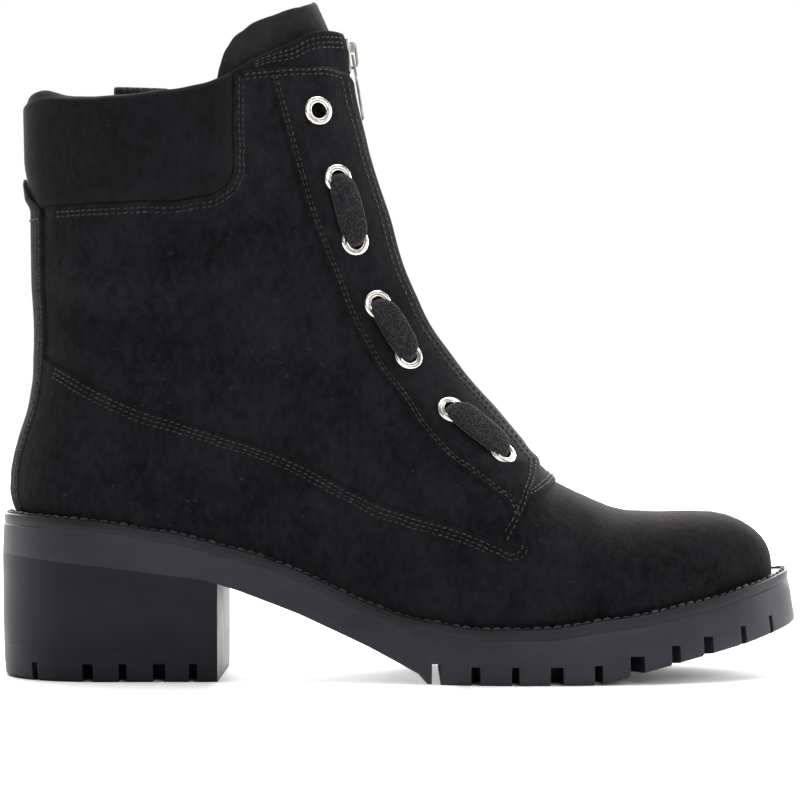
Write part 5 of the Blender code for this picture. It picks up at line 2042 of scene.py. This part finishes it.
@dataclass
class Eyelets:
    """Rolled nickel eyelets: a domed flange and a barrel through the facing and the wall."""

    sides: int = 64

    # Section of an eyelet: radius and height over the facing, round the closed outline
    SECTION = (
        (4.74, -0.05), (4.8, 0.2), (4.7, 0.5), (4.46, 0.76), (4.1, 0.9), (3.74, 0.88), (3.46, 0.72),
        (3.32, 0.5), (3.18, 0.5), (3.06, 0.74), (2.86, 0.9), (2.68, 0.84), (2.56, 0.55), (2.5, 0.1),
        (2.5, -4.2), (2.74, -4.2), (2.76, -0.4), (3.3, -0.1),
    )

    def build(self) -> None:
        """Turn each eyelet's section about its axis."""
        section = np.array(self.SECTION)
        angle = np.linspace(0.0, 2.0 * math.pi, self.sides, endpoint=False)
        faces = grid_faces(len(section), self.sides, wrap_rows=True, wrap_columns=True)
        for side in Side:
            for index in range(len(EYELETS)):
                centre, out = eyelet_frame(index, side)
                first = unit(np.cross(out, [0.3, 0.0, 1.0]))
                second = np.cross(out, first)
                spoke = np.cos(angle)[:, None] * first + np.sin(angle)[:, None] * second
                rise = out * (section[:, 1] + FACING_TOP)[:, None, None]
                points = centre + spoke[None] * section[:, 0, None, None] + rise
                name = f"eyelet_{side.word}_{index + 1}"
                ring = make_object(f"{name}_ring", points.reshape(-1, 3), [faces], [Finish.NICKEL])
                wear(ring, "nickel", name)


@dataclass
class Lace:
    """Flat knitted lace of one side: out of one eyelet, over the facing and back in at the next."""

    side: Side
    roll_out: float = 0.55
    fine: int = 520
    sides: int = 24

    BARS = ((1, 2), (3, 4), (5, 6))
    # One end of a bar: reach from the eyelet, height over the wall, half width and half thickness
    END = (
        (0.0, -3.2, 2.1, 0.9), (0.0, -1.0, 2.2, 1.6), (0.0, 0.8, 2.35, 1.85), (0.3, 2.0, 2.8, 1.75),
        (1.5, 3.15, 3.8, 1.4), (3.9, 3.9, 4.5, 1.15), (7.2, 4.05, 4.65, 1.05),
    )
    # Height, half width and half thickness at the middle of a bar and on a hidden run
    MIDDLE = (4.05, 4.7, 1.02)
    INSIDE = (-3.2, 3.6, 0.42)

    def stations(self) -> tuple[Array, Array, Array]:
        """Stations of the lace down the side.

        Returns:
            Points, the width's direction and the half sizes there.
        """
        spots = [eyelet_frame(k, self.side) for k in range(len(EYELETS))]
        depth, *hidden_size = self.INSIDE
        hidden = spots[0][0] + spots[0][1] * depth
        start = spots[1][0] - spots[0][0]
        rows = [
            (hidden + share * start, np.cross(unit(start), spots[k][1]), *hidden_size)
            for k, share in enumerate((0.35, 0.7))
        ]
        for first, last in self.BARS:
            (a, a_out), (b, b_out) = spots[first], spots[last]
            run = b - a
            length = float(np.linalg.norm(run))
            back = [(length - reach, *sizes) for reach, *sizes in reversed(self.END)]
            for reach, height, wide, thick in [*self.END, (0.5 * length, *self.MIDDLE), *back]:
                share = reach / length
                out = unit(a_out * (1.0 - share) + b_out * share)
                face = unit(out + np.array([0.0, self.roll_out * self.side.value, 0.0]))
                rows.append((a + run * share + out * height, unit(np.cross(run, face)), wide, thick))
            if last + 1 < len(spots):
                c, c_out = spots[last + 1]
                for share in (0.3, 0.7):
                    out = unit(b_out * (1.0 - share) + c_out * share)
                    spot = b + (c - b) * share + out * depth
                    rows.append((spot, unit(np.cross(c - b, out)), *hidden_size))
        return np.array([r[0] for r in rows]), np.array([r[1] for r in rows]), np.array([r[2:] for r in rows])

    def build(self) -> None:
        """Carry the lace's section along a smooth curve through the stations."""
        points, across, sizes = self.stations()
        run = run_length(points)
        place = np.linspace(0.0, run[-1], self.fine)
        curve = sampled(place, run, points, hermite)
        wide = unit(sampled(place, run, across, hermite))
        ahead = unit(np.gradient(curve, axis=0))
        wide = unit(wide - ahead * np.sum(wide * ahead, axis=1, keepdims=True))
        half = sampled(place, run, sizes)
        name = f"lace_{self.side.word}"
        thing = make_tube(name, curve, wide, np.cross(wide, ahead), half, Finish.LACE, self.sides)
        wear(thing, "lace", *[f"lace_bar_{self.side.word}_{k}" for k in (1, 2, 3)])


@dataclass
class PullLoop:
    """Folded tape sewn inside the collar on the medial side."""

    width: float = 18.6
    top: float = 196.4
    x: float = -89.6
    depth: float = 20.0
    tape: float = 1.3
    opening: float = 1.6
    clear: float = 2.6
    wave: float = 0.6
    leg_rows: int = 9
    sides: int = 28
    square: float = 6.0

    def build(self) -> None:
        """Carry the tape's section over an upside-down U on the collar's inner wall."""
        row, u = FORM.find(np.array([[self.x, self.top - self.depth]]), Side.MEDIAL)
        spot, out = FORM.point(row, u)[0], FORM.normal(row, u)[0]
        level = unit(out * np.array([1.0, 1.0, 0.0]))
        across = np.cross(level, [0.0, 0.0, 1.0])
        radius = 0.5 * (self.opening + self.tape)
        foot = spot - out * (WALL + self.clear) - level * (radius + 0.5 * self.tape)
        bend = self.depth - radius - 0.5 * self.tape
        arc = np.linspace(0.0, math.pi, 15)
        leg = np.linspace(0.0, bend, self.leg_rows, endpoint=False)
        side = np.concatenate([np.full(len(leg), radius), radius * np.cos(arc), np.full(len(leg), -radius)])
        rise = np.concatenate([leg, bend + radius * np.sin(arc), leg[::-1]])
        path = foot + level * side[:, None] + np.array([0.0, 0.0, 1.0]) * rise[:, None]
        path = path + across * (self.wave * np.sin(rise / 7.0))[:, None]
        wide = across * np.ones((len(path), 1))
        up = unit(np.cross(wide, unit(np.gradient(path, axis=0))))
        half = 0.5 * np.array([self.width, self.tape]) * np.ones((len(path), 1))
        loop = make_tube("pull_loop_tape", path, wide, up, half, Finish.TAPE, self.sides, self.square)
        wear(loop, "tape", "pull_loop")


# The sole


@dataclass
class Sole:
    """Welt, outsole, heel, heel lift and insole."""

    welt_thick: float = 3.4
    welt_set: float = 0.3
    welt_seam: float = 1.5
    lift_height: float = 10.5
    breast: float = -58.0
    fore_run: float = 12.0
    joint: float = 0.03
    heel_joint: float = 0.02
    runner_round: float = 0.3
    heel_round: float = 0.12
    lift_round: float = 0.15
    sharp_deg: float = 35.0
    lug_depth: float = 5.8
    lug_reach: float = 15.0
    heel_lug_reach: float = 11.0
    lug_draft: float = 1.12
    lug_share: float = 0.55
    cross_deeper: float = 0.8
    groove_deeper: float = -1.5
    groove_width: float = 2.6
    groove_draft: float = 1.1
    cut_floor: float = -4.0
    cut_past: float = 2.5

    GAPS = Table("x width", (
        (24.0, 2.8), (36.5, 2.3), (49.6, 4.0), (62.8, 2.6), (75.2, 4.6), (87.8, 2.9), (98.6, 3.4),
        (110.6, 2.1), (120.6, 1.6),
    ))
    CROSS = Table("x length", ((11.6, 120.0),))
    GROOVES = Table("x length", ((30.2, 24), (43.0, 27), (56.2, 27), (69.3, 23), (81.2, 18), (93.0, 12)))
    HEEL_GAPS = Table("x width", ((-117.0, 2.3), (-99.4, 3.4), (-88.2, 2.4), (-76.6, 3.9), (-65.8, 2.5)))

    # Welt's section: distance in from its outer edge and height under the welt's top, round the outline
    WELT = ((0.1, -3.38), (0.0, -2.9), (0.0, -0.7), (0.18, -0.25), (0.6, 0.0), (12.0, 0.0), (12.0, -3.38))
    # Outsole's wall: height share from the top to the floor, flare share and inset
    WALL_ROWS = (
        (0.0, 0.0, 0.35), (0.03, 0.0, 0.05), (0.3, 0.3, 0.0), (0.6, 0.6, 0.0), (0.9, 0.95, 0.0),
        (0.965, 1.0, 0.25), (1.0, 1.0, 0.95),
    )
    # Insole's rings from its top to its foot: distance inside the wall and height over the seat
    INSOLE = ((12.0, 2.5), (6.0, 2.7), (2.2, 3.2), (1.3, 1.6), (1.5, GAP))

    def welt(self) -> bpy.types.Object:
        """Ring under the upper's edge, its section carried round the sole's outline.

        Returns:
            The piece.
        """
        rings = []
        for inward, height in self.WELT:
            loop = PLAN.loop(0.0, -self.welt_set - inward)
            rings.append(np.column_stack([loop, SEAT.at("z", loop[:, 0]) + height]))
        points = np.array(rings)
        faces = grid_faces(len(self.WELT), points.shape[1], wrap_rows=True, wrap_columns=True)
        points = points.reshape(-1, 3)
        return make_object("welt_ring", points, [faces], [Finish.WELT], sharp_deg=self.sharp_deg)

    def welt_stitches(self) -> StitchRow:
        """Row of heavy stitches along the welt's top, near its outer edge.

        Returns:
            Its points and outward directions.
        """
        loop = PLAN.loop(0.0, -self.welt_set - self.welt_seam)
        points = np.column_stack([loop, SEAT.at("z", loop[:, 0])])
        ahead = unit(np.roll(points, -1, axis=0) - np.roll(points, 1, axis=0))
        out = unit(np.cross(ahead, np.column_stack([-PLAN.out, np.zeros(len(loop))])))
        out = out * np.sign(out[:, 2:])
        return np.concatenate([points, points[:1]]), np.concatenate([out, out[:1]])

    def capped(self, name: str, rings: Array, quads: Array, ends: Array, finish: Finish) -> bpy.types.Object:
        """Closed solid through rings from top to bottom, its ends ruled across from side to side.

        Args:
            name: Name of the piece.
            rings: Points by ring.
            quads: Faces of four corners of the top end.
            ends: Faces of three corners of the top end.
            finish: Its finish.

        Returns:
            The piece.
        """
        size = rings.shape[1]
        faces = grid_faces(len(rings), size, wrap_columns=True)[:, ::-1]
        low = (len(rings) - 1) * size
        faces = [faces, quads, ends, quads[:, ::-1] + low, ends[:, ::-1] + low]
        return make_object(name, rings.reshape(-1, 3), faces, [finish], sharp_deg=self.sharp_deg)

    def ruled(self, name: str, rings: Array, finish: Finish) -> bpy.types.Object:
        """Closed solid through rings that start at the toe.

        Args:
            name: Name of the piece.
            rings: Points by ring, from top to bottom.
            finish: Its finish.

        Returns:
            The piece.
        """
        size = rings.shape[1]
        j = np.arange(PLAN.COUNT - 1)
        strip = np.stack([j, j + 1, (size - j - 1) % size, (size - j) % size], axis=1)
        ends = np.stack([strip[0, [0, 1, 2]], strip[-1, [0, 1, 3]]])
        return self.capped(name, rings, strip[1:-1], ends, finish)

    def outsole(self) -> bpy.types.Object:
        """Runner from toe to heel with its lugs: rings from the welt to the floor, then cut.

        Returns:
            The piece.
        """
        rings = []
        fore = smoothstep((PLAN.edge[:, 0] - self.breast) / self.fore_run)
        for share, flare, inset in self.WALL_ROWS:
            loop = PLAN.loop(flare, -inset * (fore if share > 0.5 else 1.0))
            high = SEAT.at("z", loop[:, 0]) - self.welt_thick - self.joint
            low = TREAD.straight("z", loop[:, 0])
            rings.append(np.column_stack([loop, high + (low - high) * share]))
        thing = self.ruled("outsole_runner", np.array(rings), Finish.RUBBER)
        self.cut(thing, self.gap_boxes(self.GAPS, self.lug_reach, False))
        self.cut(thing, self.groove_boxes(self.CROSS, self.cross_deeper))
        self.cut(thing, self.groove_boxes(self.GROOVES, self.groove_deeper))
        bevel(thing, self.runner_round)
        return applied(thing)

    def gap_boxes(self, gaps: Table, longest: float, heel: bool) -> Array:
        """Boxes that cut the gaps between lugs, each square to the outline.

        Args:
            gaps: Place and width of each gap.
            longest: How far in a gap reaches at most.
            heel: Whether the gaps are those of the heel.

        Returns:
            Eight corners of each box.
        """
        boxes = []
        for side, line in PLAN.sides(PLAN.loop(1.0, -1.0 if heel else 0.0)).items():
            for x, width in gaps.rows:
                y = [PLAN.y_at(line, x + d) for d in (-2.0, 0.0, 2.0)]
                inward = unit(np.array([(y[2] - y[0]) / 4.0 * side.value, -side.value]))
                reach = min(longest, self.lug_share * abs(y[1] - float(FOOT.at("centre", x))))
                top = self.lug_depth if heel else float(TREAD.straight("z", x)) + self.lug_depth
                middle = np.array([x, y[1]]) + inward * (0.5 * reach - self.cut_past)
                size = (width, reach + 2.0 * self.cut_past)
                boxes.append(self.box(middle, inward, size, top, self.lug_draft))
        return np.array(boxes)

    def groove_boxes(self, grooves: Table, deeper: float) -> Array:
        """Boxes that cut grooves across the tread.

        Args:
            grooves: Place and length of each groove.
            deeper: How much deeper than the gaps they are.

        Returns:
            Eight corners of each box.
        """
        boxes = []
        for x, length in grooves.rows:
            top = float(TREAD.straight("z", x)) + self.lug_depth + deeper
            middle = np.array([x, float(FOOT.at("centre", x))])
            size = (self.groove_width, length)
            boxes.append(self.box(middle, np.array([0.0, 1.0]), size, top, self.groove_draft))
        return np.array(boxes)

    def box(self, middle: Array, inward: Array, size: tuple[float, float], top: float, draft: float) -> Array:
        """Upright box from under the floor up, wider at its foot by the draft.

        Args:
            middle: Its middle in plan.
            inward: Direction of its length in plan.
            size: Its width and length.
            top: Its upper end.
            draft: Width at its foot over width at its top.

        Returns:
            Its eight corners.
        """
        width, length = size
        along = np.array([inward[1], -inward[0]])
        corners = []
        for z, wide in ((self.cut_floor, width * draft), (top, width)):
            for a, b in ((-1, -1), (1, -1), (1, 1), (-1, 1)):
                spot = middle + along * (0.5 * a * wide) + inward * (0.5 * b * length)
                corners.append((*spot, z))
        return np.array(corners)

    @staticmethod
    def cut(thing: bpy.types.Object, boxes: Array) -> None:
        """Cut boxes out of a piece.

        Args:
            thing: The piece.
            boxes: Eight corners of each box.
        """
        sides = np.array([[0, 3, 2, 1], [4, 5, 6, 7], [0, 1, 5, 4], [1, 2, 6, 5], [2, 3, 7, 6], [3, 0, 4, 7]])
        faces = (sides[None] + 8 * np.arange(len(boxes))[:, None, None]).reshape(-1, 4)
        cutter = make_object("sole_cutter", boxes.reshape(-1, 3), [faces], [])
        change = thing.modifiers.new("gaps", "BOOLEAN")
        change.object = cutter
        change.solver = "EXACT"
        applied(thing)
        bpy.data.objects.remove(cutter)

    def heel_loop(self, extra: float) -> Array:
        """Rear part of the sole's outline, closed straight across at the heel breast.

        Args:
            extra: How far it is pushed out.

        Returns:
            Its points in plan.
        """
        halves = []
        for line in PLAN.sides(PLAN.loop(1.0, extra)).values():
            breast = (self.breast, PLAN.y_at(line, self.breast))
            halves.append(np.concatenate([[breast], line[line[:, 0] < self.breast - 1.0]]))
        return np.concatenate([halves[0], halves[1][-2::-1]])

    def heel_solid(self, name: str, rows: Sequence[tuple[float, float, float]]) -> bpy.types.Object:
        """Solid through heel outlines from top to bottom.

        Args:
            name: Name of the piece.
            rows: How far each outline is pushed out, its share of the tread's height and the height added.

        Returns:
            The piece.
        """
        rings = []
        for extra, share, height in rows:
            loop = self.heel_loop(extra)
            rings.append(np.column_stack([loop, share * TREAD.straight("z", loop[:, 0]) + height]))
        points = np.array(rings)
        size = points.shape[1]
        j = np.arange((size - 1) // 2)
        strip = np.stack([j, j + 1, size - 2 - j, size - 1 - j], axis=1)
        # The heel block and lift wear the rubber with painted shade
        return self.capped(name, points, strip[:-1], strip[-1:, [0, 1, 3]], Finish.HEEL)

    def heel(self) -> tuple[bpy.types.Object, bpy.types.Object]:
        """Heel block and the lift under it, the lift notched like the tread.

        Returns:
            The two pieces.
        """
        high = self.lift_height
        gap = self.heel_joint
        rows = ((0.0, 1.0, gap), (-0.15, 0.5, 0.5 * high), (-0.45, 0.0, high + gap))
        block = self.heel_solid("heel_block", rows)
        bevel(block, self.heel_round)
        rows = ((-0.45, 0.0, high), (-0.7, 0.0, 5.0), (-1.1, 0.0, 0.9), (-2.0, 0.0, 0.0))
        lift = self.heel_solid("heel_lift_block", rows)
        self.cut(lift, self.gap_boxes(self.HEEL_GAPS, self.heel_lug_reach, True))
        bevel(lift, self.lift_round)
        return applied(block), applied(lift)

    def insole(self) -> bpy.types.Object:
        """Lined insole, cupped a little at its edge.

        Returns:
            The piece.
        """
        rings = []
        for inset, height in self.INSOLE:
            loop = PLAN.inset(WALL + inset)
            rings.append(np.column_stack([loop, SEAT.at("z", loop[:, 0]) + height]))
        return self.ruled("insole_sock", np.array(rings), Finish.LINING)

    def build(self) -> StitchRow:
        """Make the sole's pieces.

        Returns:
            The welt's row of stitches.
        """
        wear(self.welt(), "welt rubber", "welt")
        wear(self.outsole(), "sole rubber", "outsole")
        block, lift = self.heel()
        wear(block, "sole rubber", "heel")
        wear(lift, "sole rubber", "heel_lift")
        wear(self.insole(), "lining", "insole")
        return self.welt_stitches()


# Camera, light and floor


@dataclass
class Studio:
    """Pale floor, white surroundings, soft boxes and a camera at the photograph's angle."""

    camera_place: tuple[float, float, float] = (0.0, -0.902, 0.0823)
    lens: float = 122.7
    sensor: float = 36.0
    shift_up: float = 0.03
    floor_half: float = 12.0
    sweep: tuple[float, float] = (0.3, 1.1)
    # Painted light on the floor: the glow of a strip under the waist of the sole, and that strip's ends in x
    floor_glow: float = 0.45
    lit_strip: tuple[float, float, float, float] = (-0.062, -0.05, 0.0135, 0.02)
    surround: tuple[float, float] = (0.3, 0.85)
    aim: tuple[float, float, float] = (0.0, 0.0, 0.09)

    # Soft boxes: place in metres, size in metres and power in watts
    BOXES = (
        ("top box", (0.0, 0.2, 1.3), (1.4, 1.0), 24.0),
        ("front box", (0.55, -1.3, 0.8), (0.8, 0.6), 7.0),
        ("toe box", (1.2, 0.2, 0.45), (0.6, 0.7), 7.0),
        ("heel box", (-1.2, 0.25, 0.45), (0.6, 0.7), 1.5),
        ("back box", (0.0, 1.3, 0.65), (2.4, 1.1), 75.0),
    )

    def camera(self) -> None:
        """Level camera square to the lateral side."""
        data = bpy.data.cameras.new("camera")
        data.lens = self.lens
        data.sensor_width = self.sensor
        data.shift_y = self.shift_up
        data.clip_start = 0.01
        camera = bpy.data.objects.new("camera", data)
        camera.location = self.camera_place
        camera.rotation_euler = (0.5 * math.pi, 0.0, 0.0)
        bpy.context.scene.collection.objects.link(camera)
        bpy.context.scene.camera = camera

    def floor(self) -> None:
        """Pale floor that glows far off like a white sweep, and glows in a strip under the waist of the sole:
        painted light that lightens the shade there.
        """
        half = self.floor_half
        mesh = bpy.data.meshes.new("floor")
        corners = [(-half, -half, 0.0), (half, -half, 0.0), (half, half, 0.0), (-half, half, 0.0)]
        mesh.from_pydata(corners, [], [(0, 1, 2, 3)])
        floor = bpy.data.objects.new("floor", mesh)
        bpy.context.scene.collection.objects.link(floor)
        s = Surface(bpy.data.materials.new("pale matt floor"))
        inputs = {0: s.add("TexNoise", s.grain(60.0, 2.0)), 6: linear("#f4f2ef"), 7: linear("#faf8f6")}
        tone = s.add("Mix", inputs, 2, **COLOURS)
        away = s.add("VectorMath", {0: s.place}, "Value", operation="LENGTH")
        x = s.add("SeparateXYZ", {0: s.place}, "X")
        # Painted light: the strip between these x places glows, lightening the shade on the floor under the
        # waist of the sole
        rear, rear_full, front_full, front = self.lit_strip
        far, behind, before = (
            s.add("MapRange", {"Value": value, "From Min": low, "From Max": high}, **EASED)
            for value, low, high in ((away, *self.sweep), (x, rear, rear_full), (x, front, front_full))
        )
        strip = s.add("Math", {0: behind, 1: before}, operation="MULTIPLY")
        strip = s.add("Math", {0: strip, 1: self.floor_glow}, operation="MULTIPLY")
        s.set(s.shader, {
            "Base Color": tone, "Roughness": 0.75, "Specular IOR Level": 0.2, "Emission Color": WHITE,
            "Emission Strength": s.add("Math", {0: far, 1: strip}, operation="MAXIMUM"),
        })
        mesh.materials.append(s.owner)

    def light(self) -> None:
        """White surroundings and soft boxes turned to the boot."""
        world = bpy.data.worlds.new("white studio")
        bpy.context.scene.world = world
        s = Surface(world, "Background", "Generated")
        dim, bright = self.surround
        lit = s.add("MapRange", {
            "Value": s.add("SeparateXYZ", {0: s.place}, "Y"),
            "From Min": -0.7, "From Max": 0.5, "To Min": dim, "To Max": bright,
        }, **EASED)
        seen = s.add("LightPath", output="Is Camera Ray")
        strength = s.add("Mix", {0: seen, 2: lit, 3: 1.0}, data_type="FLOAT")
        s.set(s.shader, {"Color": WHITE, "Strength": strength})
        for name, place, (wide, tall), power in self.BOXES:
            data = bpy.data.lights.new(name, "AREA")
            data.shape = "RECTANGLE"
            data.size, data.size_y = wide, tall
            data.energy = power
            lamp = bpy.data.objects.new(name, data)
            lamp.location = place
            lamp.rotation_euler = (Vector(self.aim) - Vector(place)).to_track_quat("-Z", "Y").to_euler()
            bpy.context.scene.collection.objects.link(lamp)

    def build(self) -> None:
        """Make the camera, floor and lights."""
        bpy.context.scene.view_settings.view_transform = "Standard"
        self.camera()
        self.floor()
        self.light()


def clear_scene() -> None:
    """Remove the objects of the start-up scene."""
    for thing in list(bpy.data.objects):
        bpy.data.objects.remove(thing, do_unlink=True)


def main() -> None:
    """Build the boot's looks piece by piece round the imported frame."""
    logging.basicConfig(level=logging.INFO, format="%(message)s")
    clear_scene()
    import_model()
    Studio().build()
    stitches = Upper().build()
    stitches += Collar().build()
    stitches += Backstay().build()
    for side in Side:
        stitches += Facing(side).build()
    stitches += FrontPieces().build()
    Zip().build()
    Eyelets().build()
    for side in Side:
        Lace(side).build()
    PullLoop().build()
    welt_row = Sole().build()
    sewing = stitch_mesh(
        "upper_stitches", stitches, Finish.THREAD,
        pitch=2.1, length=1.6, radius=0.25, seed=3, slant=0.12, uneven=0.3,
    )
    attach(sewing, BOOT)
    welt_sewing = stitch_mesh(
        "welt_stitches", [welt_row], Finish.WELT_THREAD,
        pitch=3.2, length=3.4, radius=0.5, seed=8, slant=0.2, uneven=0.5,
    )
    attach(welt_sewing, BOOT)
    LOG.info("stitches: %d and %d faces", len(sewing.data.polygons), len(welt_sewing.data.polygons))
    bpy.context.view_layer.update()


if __name__ == "__main__":
    main()
